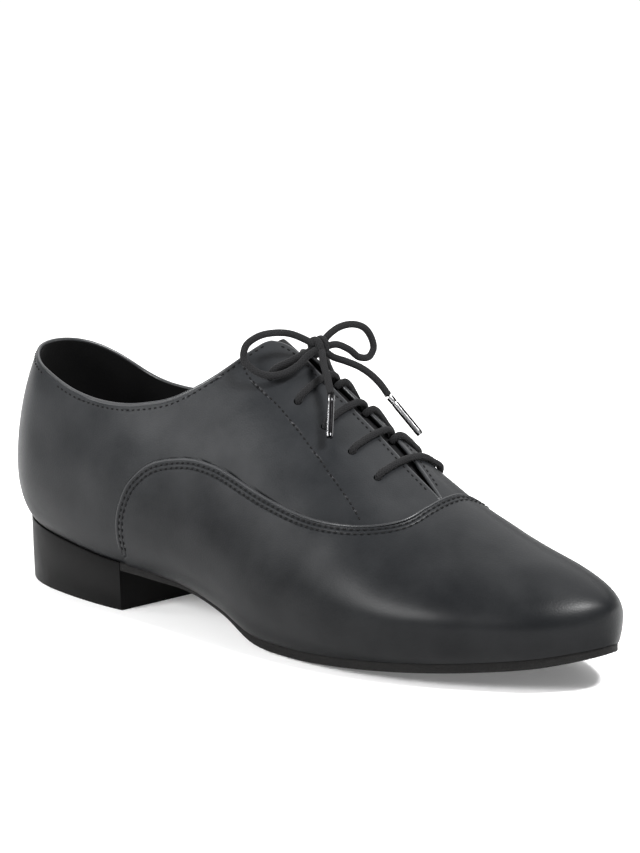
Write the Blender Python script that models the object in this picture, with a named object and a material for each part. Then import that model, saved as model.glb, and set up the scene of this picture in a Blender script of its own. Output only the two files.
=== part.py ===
# Ballroom dance shoe for the right foot: upper, outsole, heel, insole, tongue and laces
# X runs from heel to toe, Y towards the inner side of the foot and Z up, in metres
import math

import bmesh
import bpy
import numpy as np
from mathutils import Vector

for old in list(bpy.data.objects):
    bpy.data.objects.remove(old, do_unlink=True)

# Sizes of the last
LENGTH = 0.2865
HALF_BREADTH = 0.0500
HEEL_LIFT = 0.0250
RISE = 0.1000
CROWN = 0.0024
HEEL_CURVE = 0.0068
HEEL_TUCK = 0.0030

# Sizes of the pieces
WALL = 0.0020
VAMP_STEP = 0.0009
MARGIN = 0.0090
SOLE_THICKNESS = 0.0040
SOLE_REACH = 0.0005
HEEL_REACH = 0.0008
HEEL_TAPER = 0.0009
INSOLE_THICKNESS = 0.0020
TONGUE_THICKNESS = 0.0020
TONGUE_WIDTH = 0.0420
LACE_RADIUS = 0.00135
EYELET_OFFSET = 0.0135
KNOT_SIZE = 0.0042
KNOT_FORM = (0.9, 1.0, 0.8)
TIP_RADIUS = 0.0014
TIP_LENGTH = 0.0185
BOW_REACH = 0.0250
CLEARANCE = 0.0003

# Places along the shoe, as shares of its length
BREAST = 0.2677
THROAT_TOP = 0.438
TONGUE_TOP = 0.440
TONGUE_FOOT = 0.765
TONGUE_STRAIGHT = 0.640
VAMP_BACK = 0.270
FIRST_EYELET = 0.4712
EYELET_PITCH = 0.0492
EYELETS = 5

# Other shares: where the back of the heel stands furthest out and how far it curves above that,
# in shares of RISE, the tongue's breadth at its top, and the reach of the cutters
HEEL_BULGE = 0.234
HEEL_ARC = 0.40
HEEL_FADE = 0.22
TONGUE_TAPER = 0.72
VAMP_SPAN = 0.97
CUTTER_TOP = 1.7
THROAT_LOW = 0.4
RULED = 0.6
FRONT = 1.1
# How far a strand stands off the facing's edge as it dives, in shares of its riding height
DIVE = (0.9, 1.3)

# Sections from heel to toe: breadths are shares of HALF_BREADTH, edge_up of HEEL_LIFT,
# and side_up and ridge_up, measured above the edge, of RISE; the last four shape the wall
SECTION_COLUMNS = ("station", "out_edge", "in_edge", "out_side", "in_side", "edge_up", "side_up",
                   "ridge_in", "ridge_up", "out_wall", "out_crown", "in_wall", "in_crown")
SECTIONS = (
    (0.000, 0.00, 0.00, 0.00, 0.00, 0.984, 0.220, 0.00, 0.874, 0.50, 0.55, 0.50, 0.55),
    (0.030, -0.32, 0.32, -0.44, 0.43, 0.976, 0.220, 0.00, 0.906, 0.50, 0.55, 0.50, 0.55),
    (0.080, -0.48, 0.48, -0.63, 0.61, 0.944, 0.220, 0.00, 0.954, 0.50, 0.55, 0.50, 0.55),
    (0.150, -0.574, 0.57, -0.71, 0.68, 0.876, 0.210, 0.01, 0.991, 0.50, 0.50, 0.50, 0.50),
    (0.240, -0.62, 0.60, -0.74, 0.70, 0.784, 0.200, 0.04, 1.004, 0.50, 0.45, 0.50, 0.45),
    (0.320, -0.60, 0.55, -0.75, 0.71, 0.724, 0.190, 0.09, 0.999, 0.45, 0.40, 0.45, 0.38),
    (0.395, -0.57, 0.50, -0.75, 0.74, 0.612, 0.180, 0.14, 0.987, 0.42, 0.40, 0.40, 0.34),
    (0.460, -0.594, 0.52, -0.77, 0.80, 0.432, 0.180, 0.18, 0.952, 0.42, 0.42, 0.36, 0.30),
    (0.530, -0.674, 0.63, -0.82, 0.89, 0.216, 0.180, 0.20, 0.886, 0.42, 0.45, 0.33, 0.28),
    (0.600, -0.72, 0.77, -0.85, 0.98, 0.188, 0.170, 0.21, 0.773, 0.45, 0.48, 0.33, 0.28),
    (0.680, -0.74, 0.89, -0.85, 1.02, 0.236, 0.160, 0.22, 0.631, 0.47, 0.52, 0.36, 0.30),
    (0.760, -0.69, 0.92, -0.79, 1.01, 0.308, 0.146, 0.23, 0.496, 0.44, 0.47, 0.37, 0.27),
    (0.840, -0.55, 0.86, -0.64, 0.93, 0.396, 0.134, 0.24, 0.388, 0.46, 0.43, 0.40, 0.30),
    (0.900, -0.37, 0.75, -0.45, 0.82, 0.480, 0.118, 0.25, 0.316, 0.48, 0.41, 0.45, 0.37),
    (0.950, -0.19, 0.60, -0.26, 0.66, 0.572, 0.100, 0.25, 0.250, 0.50, 0.43, 0.49, 0.43),
    (0.985, 0.03, 0.43, -0.02, 0.47, 0.660, 0.088, 0.25, 0.181, 0.52, 0.50, 0.53, 0.51),
    (1.000, 0.25, 0.25, 0.25, 0.25, 0.700, 0.078, 0.25, 0.115, 0.55, 0.58, 0.55, 0.58),
)
# Underside: crown is how far the middle lies below the edge, sole how thick the sole is there
UNDERSIDE_COLUMNS = ("station", "crown", "sole")
UNDERSIDE = (
    (0.00, 0.00, 0.80),
    (0.24, 0.20, 0.80),
    (0.32, 0.32, 0.72),
    (0.395, 0.45, 0.50),
    (0.46, 0.62, 0.57),
    (0.53, 0.96, 0.88),
    (0.60, 0.96, 0.93),
    (0.68, 1.00, 0.93),
    (0.76, 0.83, 0.93),
    (0.84, 0.62, 0.93),
    (0.95, 0.33, 0.95),
    (1.00, 0.00, 0.60),
)
# Collar: heights above the edge as shares of RISE, on the outer and the inner side
COLLAR_COLUMNS = ("station", "outer", "inner")
COLLAR = (
    (0.00, 0.692, 0.692),
    (0.04, 0.683, 0.634),
    (0.10, 0.643, 0.538),
    (0.17, 0.602, 0.520),
    (0.24, 0.599, 0.560),
    (0.30, 0.625, 0.626),
    (0.36, 0.697, 0.708),
    (0.41, 0.828, 0.836),
    (0.438, 0.945, 0.955),
)
# Throat: the gap between the facings, its middle and half width as shares of HALF_BREADTH
THROAT_COLUMNS = ("station", "middle", "half")
THROAT = (
    (0.420, 0.190, 0.270),
    (0.438, 0.190, 0.170),
    (0.452, 0.190, 0.112),
    (0.466, 0.191, 0.084),
    (0.486, 0.193, 0.0745),
    (0.520, 0.194, 0.072),
    (0.600, 0.200, 0.078),
    (0.640, 0.190, 0.072),
    (0.680, 0.150, 0.052),
    (0.710, 0.120, 0.030),
    (0.737, 0.088, 0.010),
)
# Upper edge of the vamp in side view, as heights above the edge in shares of RISE
VAMP_COLUMNS = ("station", "up")
VAMP_EDGE = (
    (0.2860, 0.065),
    (0.2880, 0.189),
    (0.2956, 0.285),
    (0.3140, 0.371),
    (0.3546, 0.452),
    (0.4040, 0.504),
    (0.4470, 0.525),
    (0.4940, 0.550),
    (0.5490, 0.540),
    (0.6035, 0.518),
    (0.6530, 0.487),
    (0.7010, 0.468),
    (0.7326, 0.477),
    (0.7396, 0.508),
)
# Bow: places from the knot's middle, as shares of BOW_REACH along X, Y and Z;
# a first place, and a loop's last one, only gives the way out of the knot
LOOP_NEAR = ((-0.10, -0.20, 0.14), (-0.21, -0.36, 0.22), (-0.32, -0.58, 0.25), (-0.50, -0.76, 0.19),
             (-0.63, -0.88, 0.04), (-0.63, -0.92, -0.13), (-0.48, -0.90, -0.27), (-0.26, -0.78, -0.36),
             (-0.10, -0.60, -0.33), (0.00, -0.40, -0.22), (0.05, -0.23, -0.08))
LOOP_FAR = ((0.04, 0.19, 0.16), (0.12, 0.33, 0.27), (0.23, 0.49, 0.31), (0.31, 0.66, 0.25),
            (0.35, 0.78, 0.09), (0.37, 0.81, -0.09), (0.37, 0.73, -0.19), (0.35, 0.53, -0.18),
            (0.30, 0.37, -0.05), (0.18, 0.18, 0.04))
END_FAR = ((0.19, 0.15, -0.15), (0.31, 0.28, -0.21), (0.50, 0.43, -0.31), (0.70, 0.56, -0.49),
           (0.87, 0.64, -0.72))
TIP_FAR = (0.565, 0.30, -0.72)
END_NEAR = ((0.22, -0.12, -0.06), (0.36, -0.23, -0.18), (0.58, -0.36, -0.36), (0.77, -0.48, -0.55))
TIP_NEAR = (0.476, -0.52, -0.71)
KNOT_PLACE = (0.4905, 0.165, 0.0064)

# Steps of the meshes
HEEL_ROWS = 13
FORE_ROWS = 30
COLUMNS = 24
PLATE_COLUMNS = 10


def through(places, values, at):
    """A smooth curve through the values of a table"""
    places = np.asarray(places, float)
    values = np.asarray(values, float)
    gaps = np.diff(places)
    climbs = np.diff(values) / gaps
    slopes = np.empty(len(places))
    slopes[1:-1] = (climbs[:-1] * gaps[1:] + climbs[1:] * gaps[:-1]) / (gaps[:-1] + gaps[1:])
    slopes[0] = 1.5 * climbs[0] - 0.5 * slopes[1]
    slopes[-1] = 1.5 * climbs[-1] - 0.5 * slopes[-2]
    at = np.clip(at, places[0], places[-1])
    index = np.clip(np.searchsorted(places, at, side="right") - 1, 0, len(places) - 2)
    gap = gaps[index]
    part = (at - places[index]) / gap
    return ((2 * part**3 - 3 * part**2 + 1) * values[index]
            + (part**3 - 2 * part**2 + part) * gap * slopes[index]
            + (3 * part**2 - 2 * part**3) * values[index + 1]
            + (part**3 - part**2) * gap * slopes[index + 1])


def column(table, names, name):
    return np.array([row[names.index(name)] for row in table])


def turnOf(station):
    """A station as an angle, so that heel and toe come out round"""
    return np.arccos(np.clip(1.0 - 2.0 * np.asarray(station, float), -1.0, 1.0))


def stationOf(turn):
    return (1.0 - np.cos(turn)) / 2.0


def section(turn, name):
    return through(turnOf(column(SECTIONS, SECTION_COLUMNS, "station")),
                   column(SECTIONS, SECTION_COLUMNS, name), turn)


def underside(turn, name):
    return through(turnOf(column(UNDERSIDE, UNDERSIDE_COLUMNS, "station")),
                   column(UNDERSIDE, UNDERSIDE_COLUMNS, name), turn)


def edgeHeight(turn):
    return section(turn, "edge_up") * HEEL_LIFT


def lean(turn, above):
    """How far the back of the heel leans forward, at a height above the edge"""
    fade = np.clip(1.0 - stationOf(turn) / HEEL_FADE, 0.0, 1.0) ** 2
    high = np.clip((above / RISE - HEEL_BULGE) / HEEL_ARC, 0.0, None)
    low = np.clip((HEEL_BULGE - above / RISE) / HEEL_BULGE, 0.0, None)
    return fade * (HEEL_CURVE * high**2 + HEEL_TUCK * low**2)


def skin(turn, across):
    """The last's surface: across is -1 at the outer edge, 0 on the ridge and 1 at the inner edge"""
    outer = across < 0
    edge = np.where(outer, section(turn, "out_edge"), section(turn, "in_edge")) * HALF_BREADTH
    side = np.where(outer, section(turn, "out_side"), section(turn, "in_side")) * HALF_BREADTH
    wall = np.where(outer, section(turn, "out_wall"), section(turn, "in_wall"))
    crown = np.where(outer, section(turn, "out_crown"), section(turn, "in_crown"))
    side_up = section(turn, "side_up") * RISE
    ridge = section(turn, "ridge_in") * HALF_BREADTH
    ridge_up = section(turn, "ridge_up") * RISE
    climb = 1.0 - np.abs(across)
    low = np.clip(climb / 0.3, 0.0, 1.0)
    low_y = edge + (side - edge) * np.sin(low * math.pi / 2)
    low_up = side_up * (0.5 * (1.0 - np.cos(low * math.pi / 2)) + 0.5 * low)
    high = np.clip((climb - 0.3) / 0.7, 0.0, 1.0)
    start = (1.0 - high) ** 3
    first = 3.0 * (1.0 - high) ** 2 * high
    second = 3.0 * (1.0 - high) * high**2
    end = high**3
    high_y = start * side + first * side + second * (ridge + crown * (side - ridge)) + end * ridge
    high_up = (start * side_up + first * (side_up + wall * (ridge_up - side_up))
               + second * ridge_up + end * ridge_up)
    y = np.where(climb < 0.3, low_y, high_y)
    above = np.where(climb < 0.3, low_up, high_up)
    x = stationOf(turn) * LENGTH + lean(turn, above)
    return np.stack([x, y, edgeHeight(turn) + above], axis=-1)


def spot(turn, across, out=0.0):
    """A point that stands out from the last's surface by a distance along its normal"""
    turn, across = np.broadcast_arrays(np.asarray(turn, float), np.asarray(across, float))
    step = 0.002
    along = skin(np.clip(turn + step, 0, math.pi), across) - skin(np.clip(turn - step, 0, math.pi), across)
    over = skin(turn, np.clip(across + step, -1, 1)) - skin(turn, np.clip(across - step, -1, 1))
    normal = np.cross(along, over)
    end = np.sin(turn) < 1e-6
    normal[..., 1] = np.where(end, 0.0, normal[..., 1])
    size = np.linalg.norm(normal, axis=-1)
    lost = size < 1e-12
    forward = np.stack([-np.cos(turn), 0 * turn, 0 * turn], axis=-1)
    normal = np.where(lost[..., None], forward, normal / np.where(lost, 1.0, size)[..., None])
    return skin(turn, across) + out * normal


def outline(turn, side, out=0.0):
    """The foot's outline in plan, moved outwards; side is -1 for outer and 1 for inner"""
    step = 0.002
    across = side * np.ones_like(turn)
    along = (skin(np.clip(turn + step, 0, math.pi), across)
             - skin(np.clip(turn - step, 0, math.pi), across))[..., :2]
    away = side * np.stack([-along[..., 1], along[..., 0]], axis=-1)
    away[..., 1] = np.where(np.sin(turn) < 1e-6, 0.0, away[..., 1])
    away /= np.linalg.norm(away, axis=-1)[..., None]
    return skin(turn, across)[..., :2] + out * away


def bed(x, y):
    """Height of the upper's underside over a point of the plan"""
    turns = np.linspace(0, math.pi, 400)
    xs = stationOf(turns) * LENGTH + lean(turns, 0 * turns)
    turn = np.interp(x, xs, turns)
    outer = section(turn, "out_edge") * HALF_BREADTH
    inner = section(turn, "in_edge") * HALF_BREADTH
    half = np.maximum((inner - outer) / 2, 1e-5)
    share = np.clip(np.abs(y - (inner + outer) / 2) / half, 0, 1)
    return edgeHeight(turn) - CROWN * underside(turn, "crown") * (1 - share**2)


def acrossAt(turn, y):
    """The place across the surface that lies over a y"""
    places = np.linspace(-0.7, 0.7, 281)
    return float(np.interp(y, skin(np.full_like(places, turn), places)[:, 1], places))


def over(station, y, out=0.0):
    turn = float(turnOf(station))
    return spot(np.array([turn]), np.array([acrossAt(turn, y)]), out)[0]


def finish(mesh, angle):
    form = bmesh.new()
    form.from_mesh(mesh)
    bmesh.ops.remove_doubles(form, verts=form.verts, dist=1e-6)
    bmesh.ops.recalc_face_normals(form, faces=form.faces)
    form.to_mesh(mesh)
    form.free()
    mesh.shade_smooth()
    mesh.set_sharp_from_angle(angle=math.radians(angle))


def loft(name, rings, caps=("start", "end"), angle=40):
    """A closed solid through closed rings of equal size; a cap joins a ring's two halves in strips"""
    rings = np.asarray(rings)
    rows, size = rings.shape[:2]
    faces = []
    for row in range(rows - 1):
        for place in range(size):
            after = (place + 1) % size
            faces.append((row * size + place, row * size + after,
                          (row + 1) * size + after, (row + 1) * size + place))
    for row in [{"start": 0, "end": rows - 1}[cap] for cap in caps]:
        for place in range(size // 2 - 1):
            faces.append((row * size + place, row * size + place + 1,
                          row * size + size - 2 - place, row * size + size - 1 - place))
    mesh = bpy.data.meshes.new(name)
    mesh.from_pydata(rings.reshape(-1, 3).tolist(), [], faces)
    finish(mesh, angle)
    piece = bpy.data.objects.new(name, mesh)
    bpy.context.collection.objects.link(piece)
    return piece


def guide(piece):
    piece.hide_render = True
    piece.display_type = "WIRE"


def cut(piece, tool, operation):
    guide(tool)
    change = piece.modifiers.new(tool.name, "BOOLEAN")
    change.operation = operation
    change.solver = "EXACT"
    change.object = tool


def surface(piece, colour, roughness, metallic=0.0):
    material = bpy.data.materials.new(piece.name)
    material.use_nodes = True
    shader = material.node_tree.nodes["Principled BSDF"]
    shader.inputs["Base Color"].default_value = (*colour, 1.0)
    shader.inputs["Roughness"].default_value = roughness
    shader.inputs["Metallic"].default_value = metallic
    piece.data.materials.append(material)


def rowTurns():
    breast = float(turnOf(BREAST))
    return (np.linspace(0, breast, HEEL_ROWS), np.linspace(breast, math.pi, FORE_ROWS))


def plate(name, turns, topRim, lowRim, topHeight, lowHeight):
    """A plate across the foot between two outlines and two heights"""
    rings = []
    shares = np.linspace(0, 1, PLATE_COLUMNS + 1)
    for turn in turns:
        ring = []
        for rim, height, way in ((topRim, topHeight, 1), (lowRim, lowHeight, -1)):
            outer = rim(turn, -1)
            inner = rim(turn, 1)
            plan = outer + (inner - outer) * shares[::way, None]
            ring.extend((x, y, height(x, y)) for x, y in plan)
        rings.append(ring)
    return loft(name, rings, angle=35)


def corner(turn, side, inset):
    """The place across where the inset wall meets the inside of the turned-in margin"""
    climbs = np.linspace(0, 0.25, 51)
    line = spot(turn, side * (1 - climbs), -inset)
    above = line[:, 2] - bed(line[:, 0], line[:, 1]) - WALL
    return side * (1 - float(np.interp(0.0, above, climbs)))


def upperRing(turn):
    """One section of the upper: outside, turned-in margin, inside and margin again"""
    outside = spot(turn, np.linspace(-1, 1, COLUMNS + 1))
    inside = spot(turn, np.linspace(corner(turn, 1, WALL), corner(turn, -1, WALL), COLUMNS + 1), -WALL)
    margins = []
    for side in (1, -1):
        rim = outline(np.array([turn]), side, -MARGIN)[0]
        height = float(bed(*rim))
        margins.append([(*rim, height), (*rim, height + WALL)][::side])
    return [*outside, *margins[0], *inside, *margins[1]]


def vampRing(turn):
    """One section of the layer that lies over the quarters"""
    outside = spot(turn, np.linspace(-VAMP_SPAN, VAMP_SPAN, COLUMNS + 1), VAMP_STEP)
    inside = spot(turn, np.linspace(VAMP_SPAN, -VAMP_SPAN, COLUMNS + 1), -0.4 * WALL)
    return [*outside, *inside]


def vampPattern():
    """The vamp's shape in side view, as a block across the shoe"""
    stations = column(VAMP_EDGE, VAMP_COLUMNS, "station")
    heights = edgeHeight(turnOf(stations)) + column(VAMP_EDGE, VAMP_COLUMNS, "up") * RISE
    fine = np.linspace(0, len(stations) - 1, 3 * len(stations) - 2)
    order = np.arange(len(stations))
    line = list(zip(through(order, stations * LENGTH, fine), through(order, heights, fine)))
    front = FRONT * LENGTH
    top = RISE + HEEL_LIFT
    line = [(line[0][0], -HEEL_LIFT), *line, (line[-1][0], top), (front, top), (front, -HEEL_LIFT)]
    rings = []
    for y in (-1.5 * HALF_BREADTH, 1.5 * HALF_BREADTH):
        rings.append([(x, y, z) for x, z in line])
    rings = np.array(rings)
    mesh = bpy.data.meshes.new("vamp_pattern")
    size = len(line)
    faces = [tuple(range(size)), tuple(range(2 * size - 1, size - 1, -1))]
    for place in range(size):
        after = (place + 1) % size
        faces.append((place, size + place, size + after, after))
    mesh.from_pydata(rings.reshape(-1, 3).tolist(), [], faces)
    finish(mesh, 40)
    pattern = bpy.data.objects.new("vamp_pattern", mesh)
    bpy.context.collection.objects.link(pattern)
    return pattern


def collarCutter():
    """What is cut away above the collar, ruled from its outer line to its inner one"""
    stations = column(COLLAR, COLLAR_COLUMNS, "station")
    places = np.concatenate([[-0.15], np.linspace(0, THROAT_TOP, 22)])
    rings = []
    for place in places:
        turn = turnOf(max(place, 0))
        outer, inner = (float(edgeHeight(turn) + RISE * through(stations, column(COLLAR, COLLAR_COLUMNS, name),
                                                                max(place, 0)))
                        for name in ("outer", "inner"))
        x = place * LENGTH
        top = CUTTER_TOP * RISE
        far = 2 * HALF_BREADTH
        near = RULED * HALF_BREADTH
        rings.append([(x, -far, outer), (x, -near, outer), (x, 0, (outer + inner) / 2), (x, near, inner),
                      (x, far, inner), (x, far, top), (x, near, top), (x, 0, top), (x, -near, top),
                      (x, -far, top)])
    return loft("collar_cutter", rings)


def throatEdge(station, side):
    """The y of a facing's edge beside the gap"""
    stations = column(THROAT, THROAT_COLUMNS, "station")
    middle = through(stations, column(THROAT, THROAT_COLUMNS, "middle"), station)
    half = through(stations, column(THROAT, THROAT_COLUMNS, "half"), station)
    return float(middle + side * half) * HALF_BREADTH


def throatCutter():
    rings = []
    for station in np.linspace(THROAT[0][0], THROAT[-1][0], 26):
        x = station * LENGTH
        outer = throatEdge(station, -1)
        inner = throatEdge(station, 1)
        low = THROAT_LOW * RISE
        top = CUTTER_TOP * RISE
        rings.append([(x, outer, low), (x, inner, low), (x, inner, top), (x, outer, top)])
    return loft("throat_cutter", rings)


def eyelet(number, side):
    """Station and y of an eyelet, counted from the top"""
    station = FIRST_EYELET + number * EYELET_PITCH
    return station, throatEdge(station, side) + side * EYELET_OFFSET


def eyeletCutter():
    form = bmesh.new()
    for number in range(EYELETS):
        for side in (-1, 1):
            station, y = eyelet(number, side)
            top = Vector(over(station, y, 0.004))
            low = Vector(over(station, y, -WALL - 0.003))
            turned = (top - low).to_track_quat("Z", "Y").to_matrix().to_4x4()
            turned.translation = (top + low) / 2
            bmesh.ops.create_cone(form, cap_ends=True, segments=12, matrix=turned,
                                  radius1=LACE_RADIUS + CLEARANCE, radius2=LACE_RADIUS + CLEARANCE,
                                  depth=(top - low).length)
    mesh = bpy.data.meshes.new("eyelet_cutter")
    form.to_mesh(mesh)
    form.free()
    cutter = bpy.data.objects.new("eyelet_cutter", mesh)
    bpy.context.collection.objects.link(cutter)
    return cutter


def makeUpper():
    heel, fore = rowTurns()
    upper = loft("upper", [upperRing(turn) for turn in [*heel, *fore[1:]]], ())
    back = float(turnOf(VAMP_BACK))
    turns = np.linspace(back, math.pi, FORE_ROWS)
    layer = loft("vamp_layer", [vampRing(turn) for turn in turns], ("start",))
    cut(layer, vampPattern(), "INTERSECT")
    cut(upper, layer, "UNION")
    cut(upper, collarCutter(), "DIFFERENCE")
    cut(upper, throatCutter(), "DIFFERENCE")
    cut(upper, eyeletCutter(), "DIFFERENCE")
    surface(upper, (0.012, 0.012, 0.014), 0.32)


def soleTop(x, y):
    return float(bed(x, y)) - CLEARANCE


def soleLow(x, y):
    turns = np.linspace(0, math.pi, 400)
    turn = np.interp(x, stationOf(turns) * LENGTH, turns)
    return max(soleTop(x, y) - SOLE_THICKNESS * float(underside(turn, "sole")), 0.0)


def rimOut(reach):
    return lambda turn, side: outline(np.array([turn]), side, reach)[0]


def makeSole():
    fore = rowTurns()[1]
    start = float(turnOf(BREAST + CLEARANCE / LENGTH))
    sole = plate("outsole", [start, *fore[1:]], rimOut(SOLE_REACH), rimOut(SOLE_REACH), soleTop, soleLow)
    surface(sole, (0.020, 0.018, 0.017), 0.80)
    block = plate("heel", rowTurns()[0], rimOut(HEEL_REACH), rimOut(HEEL_REACH - HEEL_TAPER),
                  soleTop, lambda x, y: 0.0)
    surface(block, (0.012, 0.011, 0.011), 0.30)


def makeInsole():
    heel, fore = rowTurns()
    inset = WALL + 1.5 * CLEARANCE

    def rim(turn, side):
        return spot(turn, corner(turn, side, inset), -inset)[:2]

    insole = plate("insole", [*heel, *fore[1:]], rim, rim,
                   lambda x, y: float(bed(x, y)) + WALL + CLEARANCE + INSOLE_THICKNESS,
                   lambda x, y: float(bed(x, y)) + WALL + CLEARANCE)
    surface(insole, (0.020, 0.020, 0.021), 0.70)


def makeTongue():
    rings = []
    top = -WALL - 1.5 * CLEARANCE
    low = top - TONGUE_THICKNESS
    ends = turnOf(np.array([TONGUE_TOP, TONGUE_FOOT]))
    fore = rowTurns()[1]
    for turn in [ends[0], *fore[(fore > ends[0]) & (fore < ends[1])], ends[1]]:
        station = stationOf(turn)
        grown = (TONGUE_FOOT - station) / (TONGUE_FOOT - TONGUE_TOP)
        half = TONGUE_WIDTH / 2 * (TONGUE_TAPER + (1 - TONGUE_TAPER) * grown)
        middle = throatEdge(min(station, TONGUE_STRAIGHT), 0)
        places = [acrossAt(turn, y) for y in np.linspace(middle - half, middle + half, 13)]
        rings.append([*spot(turn, places, top), *spot(turn, places[::-1], low)])
    tongue = loft("tongue", rings)
    surface(tongue, (0.015, 0.015, 0.016), 0.50)


def tube(name, points, radius, spacing, colour=(0.010, 0.010, 0.011), roughness=0.65, metallic=0.0):
    """A cord along a smooth curve through hand-placed points"""
    points = np.asarray(points, float)
    steps = np.concatenate([[0], np.cumsum(np.linalg.norm(np.diff(points, axis=0), axis=1))])
    count = max(3, int(round(steps[-1] / spacing)) + 1)
    places = np.linspace(0, steps[-1], count)
    line = np.stack([through(steps, points[:, axis], places) for axis in range(3)], axis=1)
    curve = bpy.data.curves.new(name, "CURVE")
    curve.dimensions = "3D"
    curve.bevel_depth = radius
    curve.bevel_resolution = 2
    curve.use_fill_caps = True
    spline = curve.splines.new("POLY")
    spline.points.add(len(line) - 1)
    for point, place in zip(spline.points, line):
        point.co = (*place, 1.0)
    cord = bpy.data.objects.new(name, curve)
    bpy.context.collection.objects.link(cord)
    surface(cord, colour, roughness, metallic)
    return cord


def makeLaceRows():
    """The lowest row is one bar; above it a near and a far strand meet in the gap"""
    riding = LACE_RADIUS + CLEARANCE
    dipped = riding - WALL
    for number in range(1, EYELETS):
        station, near = eyelet(number, -1)
        far = eyelet(number, 1)[1]
        outer = throatEdge(station, -1)
        inner = throatEdge(station, 1)
        if number == EYELETS - 1:
            bar = [over(station, y, riding) for y in np.linspace(near, far, 9)]
            tube("lace_row_4", bar, LACE_RADIUS, 3 * LACE_RADIUS)
            continue
        reach = inner - riding
        ys = [*np.linspace(near, outer, 4), (outer + reach) / 2, reach]
        heights = [riding, riding, riding, riding, riding, dipped]
        strand = [over(station, y, out) for y, out in zip(ys, heights)]
        tube(f"lace_row_{number}_near", strand, LACE_RADIUS, 3 * LACE_RADIUS)
        front = station + (2 * LACE_RADIUS + CLEARANCE) / LENGTH
        stations = [station, (station + front) / 2, *([front] * 4)]
        edge = throatEdge(front, 1)
        ys = [*np.linspace(far, edge, 4), edge - DIVE[0] * riding, edge - DIVE[1] * riding]
        strand = [over(place, y, out) for place, y, out in zip(stations, ys, heights)]
        tube(f"lace_row_{number}_far", strand, LACE_RADIUS, 3 * LACE_RADIUS)


def bowPoints(knot, shares, tied):
    """Places of the bow, with those that are tied brought up to the knot's face"""
    points = [knot + BOW_REACH * np.array(share) for share in shares]
    for place in tied:
        way = (points[place] - knot) / np.linalg.norm(points[place] - knot)
        face = KNOT_SIZE / np.linalg.norm(way / KNOT_FORM)
        points[place] = knot + (face + CLEARANCE) * way
    return points


def makeBow():
    station, share, lift = KNOT_PLACE
    knot = over(station, share * HALF_BREADTH, lift)
    ball = bmesh.new()
    bmesh.ops.create_icosphere(ball, subdivisions=2, radius=KNOT_SIZE)
    bmesh.ops.scale(ball, vec=KNOT_FORM, verts=ball.verts)
    bmesh.ops.translate(ball, vec=knot, verts=ball.verts)
    mesh = bpy.data.meshes.new("lace_knot")
    ball.to_mesh(mesh)
    ball.free()
    mesh.shade_smooth()
    piece = bpy.data.objects.new("lace_knot", mesh)
    bpy.context.collection.objects.link(piece)
    surface(piece, (0.010, 0.010, 0.011), 0.65)
    riding = LACE_RADIUS + CLEARANCE
    for name, side in (("lace_top_near", -1), ("lace_top_far", 1)):
        start, y = eyelet(0, side)
        first = over(start, y, riding)
        middle = over((start + station) / 2, (y + knot[1]) / 2, 1.3 * riding)
        way = (middle - knot) / BOW_REACH
        tube(name, [first, middle, *bowPoints(knot, [way], (0,))], LACE_RADIUS, 3.2 * LACE_RADIUS)
    for name, shares, tied in (("lace_loop_near", LOOP_NEAR, (0, -1)), ("lace_loop_far", LOOP_FAR, (0, -1)),
                               ("lace_end_near", END_NEAR, (0,)), ("lace_end_far", END_FAR, (0,))):
        tube(name, bowPoints(knot, shares, tied), LACE_RADIUS, 3.2 * LACE_RADIUS)
    for name, shares, way in (("tip_near", END_NEAR, TIP_NEAR), ("tip_far", END_FAR, TIP_FAR)):
        way = np.array(way) / np.linalg.norm(way)
        start = bowPoints(knot, shares[-1:], ())[0] + CLEARANCE * way
        points = [start + share * TIP_LENGTH * way for share in (0.0, 0.5, 1.0)]
        tube(name, points, TIP_RADIUS, TIP_LENGTH / 2, (0.62, 0.62, 0.62), 0.25, 1.0)


def settle():
    """Puts the middle of the shoe, without its bow, over the origin"""
    bpy.context.view_layer.update()
    graph = bpy.context.evaluated_depsgraph_get()
    corners = []
    for piece in bpy.data.objects:
        if piece.hide_render or piece.name in BOW_PIECES:
            continue
        mesh = piece.evaluated_get(graph).to_mesh()
        corners.append(np.array([tuple(vertex.co) for vertex in mesh.vertices]))
    points = np.concatenate(corners)
    middle = (points.min(axis=0) + points.max(axis=0)) / 2
    for piece in bpy.data.objects:
        piece.location = (-middle[0], -middle[1], -points[:, 2].min())


BOW_PIECES = ("lace_knot", "lace_top_near", "lace_top_far", "lace_loop_near", "lace_loop_far",
              "lace_end_near", "lace_end_far", "tip_near", "tip_far")

makeUpper()
makeSole()
makeInsole()
makeTongue()
makeLaceRows()
makeBow()
settle()
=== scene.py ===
import math
import bpy
import numpy as np
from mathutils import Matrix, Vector
from mathutils.bvhtree import BVHTree
from mathutils.kdtree import KDTree


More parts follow.
